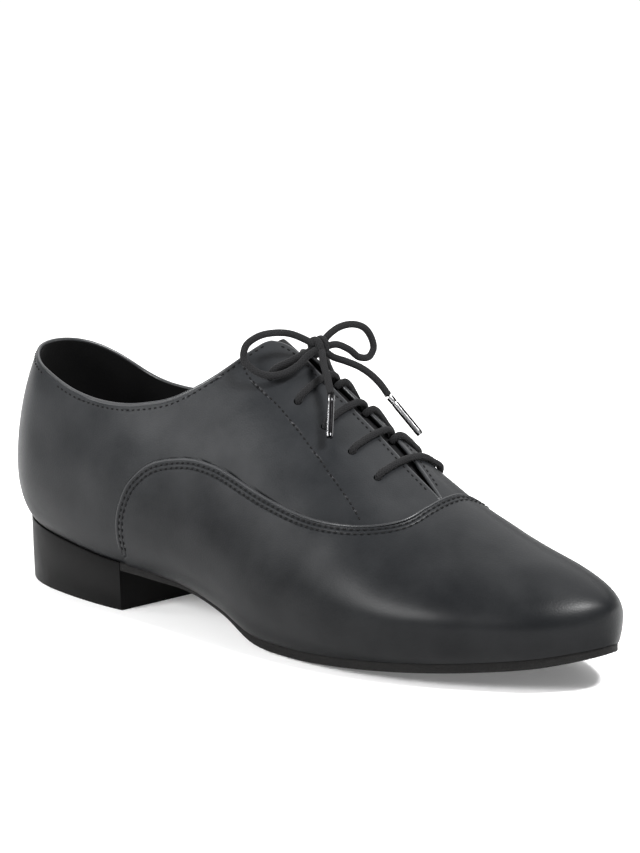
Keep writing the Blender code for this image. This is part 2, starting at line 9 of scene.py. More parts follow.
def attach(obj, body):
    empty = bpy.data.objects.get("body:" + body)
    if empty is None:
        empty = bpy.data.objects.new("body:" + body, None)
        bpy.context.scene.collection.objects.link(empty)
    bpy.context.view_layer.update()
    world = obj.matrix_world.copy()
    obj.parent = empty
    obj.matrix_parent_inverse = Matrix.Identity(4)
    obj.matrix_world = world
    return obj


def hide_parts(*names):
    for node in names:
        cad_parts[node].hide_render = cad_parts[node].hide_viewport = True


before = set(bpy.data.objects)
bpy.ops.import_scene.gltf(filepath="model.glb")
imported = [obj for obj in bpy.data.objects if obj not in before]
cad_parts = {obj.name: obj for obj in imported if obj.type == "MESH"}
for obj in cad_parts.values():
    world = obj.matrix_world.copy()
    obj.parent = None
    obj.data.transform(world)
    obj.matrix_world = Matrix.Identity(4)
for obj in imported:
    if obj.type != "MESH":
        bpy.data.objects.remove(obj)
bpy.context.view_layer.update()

# the last, in metres; its tables hold shares of these sizes, as in the part's source
last = {"length": 0.2865, "halfBreadth": 0.0500, "heelLift": 0.0250, "rise": 0.1000, "crown": 0.0024,
        "heelCurve": 0.0068, "heelTuck": 0.0030, "heelFade": 0.22, "heelBulge": 0.234, "heelArc": 0.40,
        "wall": 0.3, "ruled": 0.6, "middle": (0.143723, 0.004174, 0.0)}
sectionNames = ("station", "outEdge", "inEdge", "outSide", "inSide", "edgeUp", "sideUp",
                "ridgeIn", "ridgeUp", "outWall", "outCrown", "inWall", "inCrown")
sections = (
    (0.000, 0.00, 0.00, 0.00, 0.00, 0.984, 0.220, 0.00, 0.874, 0.50, 0.55, 0.50, 0.55),
    (0.030, -0.32, 0.32, -0.44, 0.43, 0.976, 0.220, 0.00, 0.906, 0.50, 0.55, 0.50, 0.55),
    (0.080, -0.48, 0.48, -0.63, 0.61, 0.944, 0.220, 0.00, 0.954, 0.50, 0.55, 0.50, 0.55),
    (0.150, -0.574, 0.57, -0.71, 0.68, 0.876, 0.210, 0.01, 0.991, 0.50, 0.50, 0.50, 0.50),
    (0.240, -0.62, 0.60, -0.74, 0.70, 0.784, 0.200, 0.04, 1.004, 0.50, 0.45, 0.50, 0.45),
    (0.320, -0.60, 0.55, -0.75, 0.71, 0.724, 0.190, 0.09, 0.999, 0.45, 0.40, 0.45, 0.38),
    (0.395, -0.57, 0.50, -0.75, 0.74, 0.612, 0.180, 0.14, 0.987, 0.42, 0.40, 0.40, 0.34),
    (0.460, -0.594, 0.52, -0.77, 0.80, 0.432, 0.180, 0.18, 0.952, 0.42, 0.42, 0.36, 0.30),
    (0.530, -0.674, 0.63, -0.82, 0.89, 0.216, 0.180, 0.20, 0.886, 0.42, 0.45, 0.33, 0.28),
    (0.600, -0.72, 0.77, -0.85, 0.98, 0.188, 0.170, 0.21, 0.773, 0.45, 0.48, 0.33, 0.28),
    (0.680, -0.74, 0.89, -0.85, 1.02, 0.236, 0.160, 0.22, 0.631, 0.47, 0.52, 0.36, 0.30),
    (0.760, -0.69, 0.92, -0.79, 1.01, 0.308, 0.146, 0.23, 0.496, 0.44, 0.47, 0.37, 0.27),
    (0.840, -0.55, 0.86, -0.64, 0.93, 0.396, 0.134, 0.24, 0.388, 0.46, 0.43, 0.40, 0.30),
    (0.900, -0.37, 0.75, -0.45, 0.82, 0.480, 0.118, 0.25, 0.316, 0.48, 0.41, 0.45, 0.37),
    (0.950, -0.19, 0.60, -0.26, 0.66, 0.572, 0.100, 0.25, 0.250, 0.50, 0.43, 0.49, 0.43),
    (0.985, 0.03, 0.43, -0.02, 0.47, 0.660, 0.088, 0.25, 0.181, 0.52, 0.50, 0.53, 0.51),
    (1.000, 0.25, 0.25, 0.25, 0.25, 0.700, 0.078, 0.25, 0.115, 0.55, 0.58, 0.55, 0.58),
)
undersideNames = ("station", "crown", "sole")
undersideRows = (
    (0.00, 0.00, 0.80),
    (0.24, 0.20, 0.80),
    (0.32, 0.32, 0.72),
    (0.395, 0.45, 0.50),
    (0.46, 0.62, 0.57),
    (0.53, 0.96, 0.88),
    (0.60, 0.96, 0.93),
    (0.68, 1.00, 0.93),
    (0.76, 0.83, 0.93),
    (0.84, 0.62, 0.93),
    (0.95, 0.33, 0.95),
    (1.00, 0.00, 0.60),
)
collarNames = ("station", "outer", "inner")
collarRows = (
    (0.00, 0.692, 0.692),
    (0.04, 0.683, 0.634),
    (0.10, 0.643, 0.538),
    (0.17, 0.602, 0.520),
    (0.24, 0.599, 0.560),
    (0.30, 0.625, 0.626),
    (0.36, 0.697, 0.708),
    (0.41, 0.828, 0.836),
    (0.438, 0.945, 0.955),
)
throatNames = ("station", "middle", "half")
throatRows = (
    (0.420, 0.190, 0.270),
    (0.438, 0.190, 0.170),
    (0.452, 0.190, 0.112),
    (0.466, 0.191, 0.084),
    (0.486, 0.193, 0.0745),
    (0.520, 0.194, 0.072),
    (0.600, 0.200, 0.078),
    (0.640, 0.190, 0.072),
    (0.680, 0.150, 0.052),
    (0.710, 0.120, 0.030),
    (0.737, 0.088, 0.010),
)
vampNames = ("station", "up")
vampRows = (
    (0.2860, 0.065), (0.2880, 0.189), (0.2951, 0.267), (0.3092, 0.348), (0.3430, 0.438), (0.3959, 0.498),
    (0.4384, 0.525), (0.4760, 0.533), (0.5147, 0.534), (0.5529, 0.522), (0.6074, 0.493), (0.6530, 0.474),
    (0.7010, 0.466), (0.7326, 0.477), (0.7396, 0.508),
)


def through(places, values, at):
    places = np.asarray(places, float)
    values = np.asarray(values, float)
    gaps = np.diff(places)
    climbs = np.diff(values) / gaps
    slopes = np.empty(len(places))
    slopes[1:-1] = (climbs[:-1] * gaps[1:] + climbs[1:] * gaps[:-1]) / (gaps[:-1] + gaps[1:])
    slopes[0] = 1.5 * climbs[0] - 0.5 * slopes[1]
    slopes[-1] = 1.5 * climbs[-1] - 0.5 * slopes[-2]
    at = np.clip(at, places[0], places[-1])
    index = np.clip(np.searchsorted(places, at, side="right") - 1, 0, len(places) - 2)
    gap = gaps[index]
    part = (at - places[index]) / gap
    return ((2 * part**3 - 3 * part**2 + 1) * values[index]
            + (part**3 - 2 * part**2 + part) * gap * slopes[index]
            + (3 * part**2 - 2 * part**3) * values[index + 1]
            + (part**3 - part**2) * gap * slopes[index + 1])


def tableColumn(table, names, name):
    return np.array([row[names.index(name)] for row in table])


def turnOf(station):
    return np.arccos(np.clip(1.0 - 2.0 * np.asarray(station, float), -1.0, 1.0))


def stationOf(turn):
    return (1.0 - np.cos(turn)) / 2.0


def section(turn, name, table=sections, names=sectionNames):
    return through(turnOf(tableColumn(table, names, "station")), tableColumn(table, names, name), turn)


def underside(turn, name):
    return section(turn, name, undersideRows, undersideNames)


def edgeHeight(turn):
    return section(turn, "edgeUp") * last["heelLift"]


def lean(turn, above):
    # the back of the heel leans forward above and below its fullest height
    fade = np.clip(1.0 - stationOf(turn) / last["heelFade"], 0.0, 1.0) ** 2
    share = above / last["rise"]
    high = np.clip((share - last["heelBulge"]) / last["heelArc"], 0.0, None)
    low = np.clip((last["heelBulge"] - share) / last["heelBulge"], 0.0, None)
    return fade * (last["heelCurve"] * high**2 + last["heelTuck"] * low**2)


def skin(turn, across):
    # across is -1 at the outer edge of the foot, 0 on the ridge and 1 at the inner edge
    outer = across < 0
    edge, side, wall, crown = (np.where(outer, section(turn, "out" + name), section(turn, "in" + name))
                               for name in ("Edge", "Side", "Wall", "Crown"))
    edge = edge * last["halfBreadth"]
    side = side * last["halfBreadth"]
    sideUp = section(turn, "sideUp") * last["rise"]
    ridge = section(turn, "ridgeIn") * last["halfBreadth"]
    ridgeUp = section(turn, "ridgeUp") * last["rise"]
    climb = 1.0 - np.abs(across)
    part = last["wall"]
    low = np.clip(climb / part, 0.0, 1.0)
    lowY = edge + (side - edge) * np.sin(low * math.pi / 2)
    lowUp = sideUp * (0.5 * (1.0 - np.cos(low * math.pi / 2)) + 0.5 * low)
    high = np.clip((climb - part) / (1 - part), 0.0, 1.0)
    start = (1.0 - high) ** 3
    first = 3.0 * (1.0 - high) ** 2 * high
    second = 3.0 * (1.0 - high) * high**2
    end = high**3
    highY = start * side + first * side + second * (ridge + crown * (side - ridge)) + end * ridge
    highUp = start * sideUp + first * (sideUp + wall * (ridgeUp - sideUp)) + second * ridgeUp + end * ridgeUp
    y = np.where(climb < part, lowY, highY)
    above = np.where(climb < part, lowUp, highUp)
    x = stationOf(turn) * last["length"] + lean(turn, above)
    return np.stack([x, y, edgeHeight(turn) + above], axis=-1)


def along(turn, across, step=0.002):
    return skin(np.clip(turn + step, 0, math.pi), across) - skin(np.clip(turn - step, 0, math.pi), across)


def normalAt(turn, across, step=0.002):
    sideways = skin(turn, np.clip(across + step, -1, 1)) - skin(turn, np.clip(across - step, -1, 1))
    normal = np.cross(along(turn, across), sideways)
    normal[..., 1] = np.where(np.sin(turn) < 1e-6, 0.0, normal[..., 1])
    size = np.linalg.norm(normal, axis=-1)
    lost = size < 1e-12
    forward = np.stack([-np.cos(turn), 0 * turn, 0 * turn], axis=-1)
    return np.where(lost[..., None], forward, normal / np.where(lost, 1.0, size)[..., None])


def spot(turn, across, out=0.0):
    turn, across = np.broadcast_arrays(np.asarray(turn, float), np.asarray(across, float))
    out = np.broadcast_to(np.asarray(out, float), turn.shape)
    return skin(turn, across) + out[..., None] * normalAt(turn, across)


def outline(turn, side, out=0.0):
    across = side * np.ones_like(turn)
    way = along(turn, across)
    away = side * np.stack([-way[..., 1], way[..., 0]], axis=-1)
    away[..., 1] = np.where(np.sin(turn) < 1e-6, 0.0, away[..., 1])
    away /= np.linalg.norm(away, axis=-1)[..., None]
    return skin(turn, across)[..., :2] + out * away


def bed(x, y):
    turns = np.linspace(0, math.pi, 400)
    turn = np.interp(x, stationOf(turns) * last["length"] + lean(turns, 0 * turns), turns)
    outer = section(turn, "outEdge") * last["halfBreadth"]
    inner = section(turn, "inEdge") * last["halfBreadth"]
    share = np.clip(np.abs(y - (inner + outer) / 2) / np.maximum((inner - outer) / 2, 1e-5), 0, 1)
    return edgeHeight(turn) - last["crown"] * underside(turn, "crown") * (1 - share**2)


def acrossAt(turn, y):
    places = np.linspace(-0.7, 0.7, 281)
    return float(np.interp(y, skin(np.full_like(places, turn), places)[:, 1], places))


def over(station, y, out=0.0):
    turn = float(turnOf(station))
    return spot(np.array([turn]), np.array([acrossAt(turn, y)]), out)[0]


def follow(table, names, name, station):
    return through(tableColumn(table, names, "station"), tableColumn(table, names, name), station)


def throatEdge(station, side):
    middle, half = (follow(throatRows, throatNames, name, station) for name in ("middle", "half"))
    return float(middle + side * half) * last["halfBreadth"]


def collarHeight(x, y):
    # between the shoe's two sides the line is ruled straight across
    place = np.clip(x / last["length"], 0, None)
    outer, inner = (edgeHeight(turnOf(place)) + last["rise"] * follow(collarRows, collarNames, name, place)
                    for name in ("outer", "inner"))
    share = np.clip(y / (last["ruled"] * last["halfBreadth"]) * 0.5 + 0.5, 0, 1)
    return outer + (inner - outer) * share


def inThroat(x, y):
    place = x / last["length"]
    return (throatRows[0][0] <= place <= throatRows[-1][0]
            and throatEdge(place, -1) < y < throatEdge(place, 1))


def vampLine(count):
    stations = tableColumn(vampRows, vampNames, "station")
    heights = edgeHeight(turnOf(stations)) + tableColumn(vampRows, vampNames, "up") * last["rise"]
    order = np.arange(len(stations))
    fine = np.linspace(0, len(stations) - 1, count)
    return np.stack([through(order, stations * last["length"], fine), through(order, heights, fine)], axis=1)


# tools for meshes
def deselect():
    if bpy.context.object and bpy.context.object.mode != "OBJECT":
        bpy.ops.object.mode_set(mode="OBJECT")
    bpy.ops.object.select_all(action="DESELECT")


def makeActive(piece):
    deselect()
    piece.select_set(True)
    bpy.context.view_layer.objects.active = piece


def editMesh(*steps):
    # each step is an edit mode tool and its values, run on the whole active mesh
    bpy.ops.object.mode_set(mode="EDIT")
    for tool, values in steps:
        bpy.ops.mesh.select_all(action="SELECT")
        tool(**values)
    bpy.ops.object.mode_set(mode="OBJECT")


def gridPiece(name, columns, rows, place, merge=2e-6):
    # a flat grid whose points are moved onto a surface
    deselect()
    bpy.ops.mesh.primitive_grid_add(x_subdivisions=columns, y_subdivisions=rows, size=2)
    piece = bpy.context.object
    piece.name = name
    piece.data.name = name
    flat = np.empty(len(piece.data.vertices) * 3)
    piece.data.vertices.foreach_get("co", flat)
    flat = flat.reshape(-1, 3)
    spots = place((flat[:, 0] + 1) / 2, (flat[:, 1] + 1) / 2) - np.array(last["middle"])
    piece.data.vertices.foreach_set("co", spots.ravel())
    piece.data.update()
    editMesh((bpy.ops.mesh.remove_doubles, {"threshold": merge}))
    return piece


def ringPiece(name, rings, smooth=40):
    # a closed solid through closed rings of one size; open ends are filled
    rings = np.asarray(rings, float)
    count, size = rings.shape[:2]

    def place(u, v):
        row = np.rint(u * (count - 1)).astype(int)
        return rings[row, np.rint(v * size).astype(int) % size]

    piece = gridPiece(name, count - 1, size, place)
    editMesh((bpy.ops.mesh.fill_holes, {"sides": 0}),
             (bpy.ops.mesh.normals_make_consistent, {"inside": False}))
    bpy.ops.object.shade_smooth_by_angle(angle=math.radians(smooth))
    return piece


def applyModifier(piece, kind, **values):
    makeActive(piece)
    bpy.ops.object.modifier_add(type=kind)
    modifier = piece.modifiers[-1]
    for name, value in values.items():
        setattr(modifier, name, value)
    bpy.ops.object.modifier_apply(modifier=modifier.name)


def markFar(piece, name, points, most=0.02):
    # stores on each vertex how far it lies from a line
    tree = KDTree(len(points))
    for index, point in enumerate(points):
        tree.insert(Vector(point), index)
    tree.balance()
    layer = piece.data.attributes.new(name, "FLOAT", "POINT")
    layer.data.foreach_set("value", [min(tree.find(vertex.co)[2], most) for vertex in piece.data.vertices])


def cutWith(piece, tool, operation="DIFFERENCE"):
    applyModifier(piece, "BOOLEAN", operation=operation, solver="EXACT", object=tool)


def remove(piece):
    bpy.data.objects.remove(piece, do_unlink=True)


def lengthsAlong(line):
    return np.concatenate([[0], np.cumsum(np.linalg.norm(np.diff(line, axis=0), axis=1))])


def smoothLine(route, step):
    route = np.asarray(route, float)
    steps = lengthsAlong(route)
    count = max(4, int(math.ceil(steps[-1] / step)) + 1)
    places = np.linspace(0, steps[-1], count)
    return np.stack([through(steps, route[:, axis], places) for axis in range(3)], axis=1)


def frames(line):
    ways = np.gradient(line, axis=0)
    ways /= np.linalg.norm(ways, axis=1)[:, None]
    side = np.cross(ways[0], (0.3, 0.2, 1.0))
    sides = []
    for way in ways:
        side = side - way * (side @ way)
        side = side / np.linalg.norm(side)
        sides.append(side)
    return np.array(sides), np.cross(ways, sides)


def tubePiece(name, route, radius, sides=14, step=0.0008, ends=0.8, profile=None):
    # a round-ended tube; ends is a share of the radius, profile gives the radius along the tube
    line = smoothLine(route, step)
    first, second = frames(line)
    far = lengthsAlong(line)
    cap = np.clip(np.minimum(far, far[-1] - far) / (ends * radius), 0, 1)
    size = np.sqrt(np.clip(1 - (1 - cap) ** 2, 0, 1))
    if profile:
        size = size * profile(far / far[-1])
    count = len(line) - 1

    def place(u, v):
        index = np.rint(u * count).astype(int)
        angle = -2 * math.pi * v
        reach = radius * size[index]
        return (line[index] + (reach * np.cos(angle))[:, None] * first[index]
                + (reach * np.sin(angle))[:, None] * second[index])

    piece = gridPiece(name, count, sides, place)
    layer = piece.data.uv_layers[0].data
    uv = np.empty(len(layer) * 2)
    layer.foreach_get("uv", uv)
    uv = uv.reshape(-1, 2) * (far[-1], 2 * math.pi * radius)
    layer.foreach_set("uv", uv.ravel())
    editMesh((bpy.ops.mesh.normals_make_consistent, {"inside": False}))
    bpy.ops.object.shade_smooth_by_angle(angle=math.radians(50))
    return piece, line - np.array(last["middle"])


def surfaceOf(piece):
    return BVHTree.FromPolygons([vertex.co.copy() for vertex in piece.data.vertices],
                                [tuple(face.vertices) for face in piece.data.polygons])


def evenly(line, pitch):
    steps = lengthsAlong(line)
    count = max(2, int(round(steps[-1] / pitch)) + 1)
    places = np.linspace(0, steps[-1], count)
    return np.stack([np.interp(places, steps, line[:, axis]) for axis in range(3)], axis=1)


def besides(line, tree, away):
    # the line moved sideways over a surface
    moved = []
    for index, place in enumerate(line):
        way = Vector(line[min(index + 2, len(line) - 1)] - line[max(index - 2, 0)]).normalized()
        normal = tree.find_nearest(Vector(place))[1]
        moved.append(Vector(place) + away * normal.cross(way).normalized())
    return np.array(moved)


def stitchRow(name, line, tree, values):
    # one stitch is modelled once and repeated along the line, sunk a little into the leather
    deselect()
    bpy.ops.mesh.primitive_uv_sphere_add(segments=8, ring_count=5, radius=1)
    pattern = bpy.context.object
    shape = np.array([vertex.co for vertex in pattern.data.vertices])
    faces = [tuple(face.vertices) for face in pattern.data.polygons]
    remove(pattern)
    shape[:, 2] = np.sign(shape[:, 2]) * np.abs(shape[:, 2]) ** 0.6
    centres = evenly(line, values["pitch"])
    points = []
    joined = []
    radius = values["radius"]
    for index, centre in enumerate((centres[1:] + centres[:-1]) / 2):
        place, normal = tree.find_nearest(Vector(centre))[:2]
        way = Vector(centres[index + 1] - centres[index])
        way = (way - normal * way.dot(normal)).normalized()
        across = normal.cross(way)
        for x, y, z in shape:
            lift = x * radius - values["dip"] * radius * z * z
            points.append(place + way * z * values["length"] / 2 + across * y * radius + normal * lift)
        joined.extend(tuple(vertex + index * len(shape) for vertex in corner) for corner in faces)
    mesh = bpy.data.meshes.new(name)
    mesh.from_pydata(points, [], joined)
    mesh.shade_smooth()
    row = bpy.data.objects.new(name, mesh)
    bpy.context.collection.objects.link(row)
    return row


# shader groups
def newGroup(name, label, value, outputs):
    # a group takes a place and one measure, and gives plain numbers
    group = bpy.data.node_groups.new(name, "ShaderNodeTree")
    group.interface.new_socket("Vector", in_out="INPUT", socket_type="NodeSocketVector")
    measure = group.interface.new_socket(label, in_out="INPUT", socket_type="NodeSocketFloat")
    measure.default_value = value
    for output in outputs:
        group.interface.new_socket(output, in_out="OUTPUT", socket_type="NodeSocketFloat")
    return group, group.nodes.new("NodeGroupInput"), group.nodes.new("NodeGroupOutput")


def giveOut(group, end, **results):
    for name, result in results.items():
        group.links.new(result, end.inputs[name])
    return group


def noise(tree, vector, scale, detail=3.0, rough=0.5):
    node = tree.nodes.new("ShaderNodeTexNoise")
    setInputs(node, Detail=detail, Roughness=rough)
    if isinstance(scale, float):
        setInputs(node, Scale=scale)
    else:
        tree.links.new(scale, node.inputs["Scale"])
    tree.links.new(vector, node.inputs["Vector"])
    return node.outputs["Fac"]


def maths(tree, operation, first, second=None, third=None):
    node = tree.nodes.new("ShaderNodeMath")
    node.operation = operation
    for socket, value in zip(node.inputs, (first, second, third)):
        if value is None:
            continue
        if isinstance(value, (int, float)):
            socket.default_value = value
        else:
            tree.links.new(value, socket)
    return node.outputs[0]


def setInputs(node, **values):
    # a name's underlines stand for the blanks in the input's label
    for name, value in values.items():
        node.inputs[name.replace("_", " ")].default_value = value


def between(tree, value, low, high, toLow=0.0, toHigh=1.0, kind="LINEAR"):
    node = tree.nodes.new("ShaderNodeMapRange")
    node.interpolation_type = kind
    tree.links.new(value, node.inputs["Value"])
    setInputs(node, From_Min=low, From_Max=high, To_Min=toLow, To_Max=toHigh)
    return node.outputs["Result"]


def leatherGrain():
    # fine pores in small cells, over a slow change in how the hide lies
    group, start, end = newGroup("leatherGrain", "Scale", 900.0, ("Height", "Pores", "Cloud"))
    cells = group.nodes.new("ShaderNodeTexVoronoi")
    cells.feature = "DISTANCE_TO_EDGE"
    group.links.new(start.outputs["Vector"], cells.inputs["Vector"])
    group.links.new(start.outputs["Scale"], cells.inputs["Scale"])
    creased = between(group, cells.outputs["Distance"], 0.0, 0.25)
    fine = noise(group, start.outputs["Vector"], 2600.0, 2.0)
    cloud = noise(group, start.outputs["Vector"], 55.0, 3.0, 0.55)
    height = maths(group, "MULTIPLY_ADD", creased, 0.6, maths(group, "MULTIPLY", fine, 0.4))
    return giveOut(group, end, Height=height, Pores=creased, Cloud=cloud)


def braid():
    # two sets of strands that cross at a slant, on the cord's own map
    group, start, end = newGroup("braid", "Strand", 0.0011, ("Height", "Groove"))
    parts = group.nodes.new("ShaderNodeSeparateXYZ")
    group.links.new(start.outputs["Vector"], parts.inputs[0])
    waves = []
    for sign in (1, -1):
        slant = maths(group, "MULTIPLY_ADD", parts.outputs[1], float(sign), parts.outputs[0])
        turns = maths(group, "DIVIDE", slant, start.outputs["Strand"])
        wave = maths(group, "SINE", maths(group, "MULTIPLY", turns, 2 * math.pi))
        waves.append(maths(group, "MULTIPLY_ADD", wave, 0.5, 0.5))
    height = maths(group, "MAXIMUM", waves[0], waves[1])
    # the groove share paints shade: the cord's colour is darker in the grooves between strands
    return giveOut(group, end, Height=height, Groove=between(group, height, 0.15, 0.75))


def fibres():
    # short raised fibres of suede, felt and cut edges
    group, start, end = newGroup("fibres", "Scale", 1400.0, ("Height", "Patch"))
    fine = noise(group, start.outputs["Vector"], start.outputs["Scale"], 4.0, 0.7)
    return giveOut(group, end, Height=fine, Patch=noise(group, start.outputs["Vector"], 120.0, 3.0))


groups = {"leatherGrain": leatherGrain(), "braid": braid(), "fibres": fibres()}


def newMaterial(name):
    material = bpy.data.materials.new(name)
    material.use_nodes = True
    tree = material.node_tree
    return material, tree, tree.nodes["Principled BSDF"]


def useGroup(tree, name, vector, **values):
    node = tree.nodes.new("ShaderNodeGroup")
    node.node_tree = groups[name]
    tree.links.new(vector, node.inputs["Vector"])
    setInputs(node, **values)
    return node


def coordinates(tree, name="Object"):
    return tree.nodes.new("ShaderNodeTexCoord").outputs[name]


def addBump(tree, shader, height, strength, distance):
    bump = tree.nodes.new("ShaderNodeBump")
    setInputs(bump, Strength=strength, Distance=distance)
    tree.links.new(height, bump.inputs["Height"])
    tree.links.new(bump.outputs["Normal"], shader.inputs["Normal"])


def separated(tree, name="Object"):
    parts = tree.nodes.new("ShaderNodeSeparateXYZ")
    tree.links.new(coordinates(tree, name), parts.inputs[0])
    return parts


def mixColours(tree, share, first, second):
    # first is a colour or another node's output
    node = tree.nodes.new("ShaderNodeMix")
    node.data_type = "RGBA"
    tree.links.new(share, node.inputs["Factor"])
    if isinstance(first, tuple):
        node.inputs["A"].default_value = (*first, 1.0)
    else:
        tree.links.new(first, node.inputs["A"])
    node.inputs["B"].default_value = (*second, 1.0)
    return node.outputs["Result"]


def paint(tree, shader, share, values):
    tree.links.new(mixColours(tree, share, values["dark"], values["light"]), shader.inputs["Base Color"])


def roughen(tree, shader, share, values):
    tree.links.new(between(tree, share, 0.3, 0.7, *values["rough"]), shader.inputs["Roughness"])


def leatherMaterial(name, values, troughs=()):
    # troughs: name of a distance attribute, how far from its line, breadth, depth, and the painted shade that
    # darkens the stitch channel
    material, tree, shader = newMaterial(name)
    grain = useGroup(tree, "leatherGrain", coordinates(tree), Scale=values["grain"])
    cloud = grain.outputs["Cloud"]
    colour = mixColours(tree, cloud, values["dark"], values["light"])
    shade = None
    dip = None
    for attribute, far, breadth, depth, dark in troughs:
        lookup = tree.nodes.new("ShaderNodeAttribute")
        lookup.attribute_name = attribute
        aside = maths(tree, "ABSOLUTE", maths(tree, "SUBTRACT", lookup.outputs["Fac"], far))
        band = between(tree, aside, 0.0, breadth, 1.0, 0.0, "SMOOTHSTEP")
        lower = maths(tree, "MULTIPLY", band, -depth)
        dip = lower if dip is None else maths(tree, "ADD", dip, lower)
        paintedChannelShade = maths(tree, "MULTIPLY", band, dark)
        shade = paintedChannelShade if shade is None else maths(tree, "MAXIMUM", shade, paintedChannelShade)
    # painted shade: the colour darkens towards black in the stitch channels, and the specular with it
    if shade is not None:
        colour = mixColours(tree, shade, colour, (0.001, 0.001, 0.001))
    # painted shade: the base colour and specular fall off towards the sole between two heights, down to the
    # share given for the lower one
    paintedShadeShare = between(tree, separated(tree).outputs[2], *values["paintedShadeHeights"], 1.0)
    shadedBase = tree.nodes.new("ShaderNodeVectorMath")
    shadedBase.operation = "SCALE"
    tree.links.new(colour, shadedBase.inputs[0])
    tree.links.new(paintedShadeShare, shadedBase.inputs["Scale"])
    tree.links.new(shadedBase.outputs[0], shader.inputs["Base Color"])
    rough = between(tree, cloud, 0.3, 0.7, *values["rough"])
    pored = maths(tree, "MULTIPLY_ADD", grain.outputs["Pores"], -0.04, rough)
    tree.links.new(pored, shader.inputs["Roughness"])
    setInputs(shader, Coat_Weight=values["coat"], Coat_Roughness=values["coatRough"])
    shine = maths(tree, "MULTIPLY", paintedShadeShare, between(tree, cloud, 0.25, 0.75, *values["specular"]))
    if shade is not None:
        shine = maths(tree, "MULTIPLY", maths(tree, "SUBTRACT", 1.0, shade), shine)
    tree.links.new(shine, shader.inputs["Specular IOR Level"])
    addBump(tree, shader, grain.outputs["Height"], values["bump"], 0.00012)
    if dip is not None:
        seam = tree.nodes.new("ShaderNodeBump")
        setInputs(seam, Distance=0.001)
        tree.links.new(dip, seam.inputs["Height"])
        tree.links.new(seam.outputs["Normal"], shader.inputs["Normal"].links[0].from_node.inputs["Normal"])
    return material


def laceMaterial(name, values):
    material, tree, shader = newMaterial(name)
    weave = useGroup(tree, "braid", coordinates(tree, "UV"), Strand=values["strand"])
    # painted shade: darker colour in the braid's grooves
    paint(tree, shader, weave.outputs["Groove"], values)
    setInputs(shader, Roughness=values["rough"], Sheen_Weight=values["sheen"],
              Specular_IOR_Level=values["specular"])
    addBump(tree, shader, weave.outputs["Height"], values["bump"], 0.00025)
    return material


def suedeMaterial(name, values):
    material, tree, shader = newMaterial(name)
    nap = useGroup(tree, "fibres", coordinates(tree), Scale=values["scale"])
    paint(tree, shader, nap.outputs["Patch"], values)
    setInputs(shader, Roughness=values["rough"], Sheen_Weight=values["sheen"],
              Specular_IOR_Level=values["specular"])
    addBump(tree, shader, nap.outputs["Height"], values["bump"], 0.0004)
    return material


def blockMaterial(name, values):
    # the heel block: nearly smooth, with a faintly uneven gloss
    material, tree, shader = newMaterial(name)
    nap = useGroup(tree, "fibres", coordinates(tree), Scale=700.0)
    paint(tree, shader, nap.outputs["Patch"], values)
    roughen(tree, shader, nap.outputs["Patch"], values)
    setInputs(shader, Coat_Weight=values["coat"], Coat_Roughness=0.12, Specular_IOR_Level=values["specular"])
    addBump(tree, shader, nap.outputs["Height"], 0.10, 0.0001)
    return material


def metalMaterial(name, values):
    # painted reflection: the sleeve's colour darkens in bands that run along it, standing in for the dark and
    # bright streaks the chrome reflects
    material, tree, shader = newMaterial(name)
    nap = useGroup(tree, "fibres", coordinates(tree), Scale=900.0)
    turns = maths(tree, "MULTIPLY", separated(tree, "UV").outputs[1], values["reflectionBands"] / lace["tipRadius"])
    wave = maths(tree, "SINE", maths(tree, "ADD", turns, values["start"]))
    paint(tree, shader, between(tree, wave, -0.2, 0.5), values)
    roughen(tree, shader, nap.outputs["Patch"], values)
    setInputs(shader, Metallic=1.0)
    addBump(tree, shader, nap.outputs["Height"], 0.08, 0.0001)
    return material


lace = {"radius": 0.00135, "hole": 0.00165, "eyelets": 5, "firstEyelet": 0.4712, "pitch": 0.0492,
        "offset": 0.0135, "knotPlace": (0.4905, 0.165, 0.0064), "reach": 0.0250,
        "tipRadius": 0.00135, "tipLength": 0.0185, "pinch": 0.10, "turnedIn": 0.16,
        "riding": 0.85, "mouth": 0.6, "sunk": (-0.0035, -0.0008), "rising": 0.75, "bend": 3.5,
        "topSunk": (-0.0030, -0.0006), "topRising": 0.8, "topArch": 1.5}
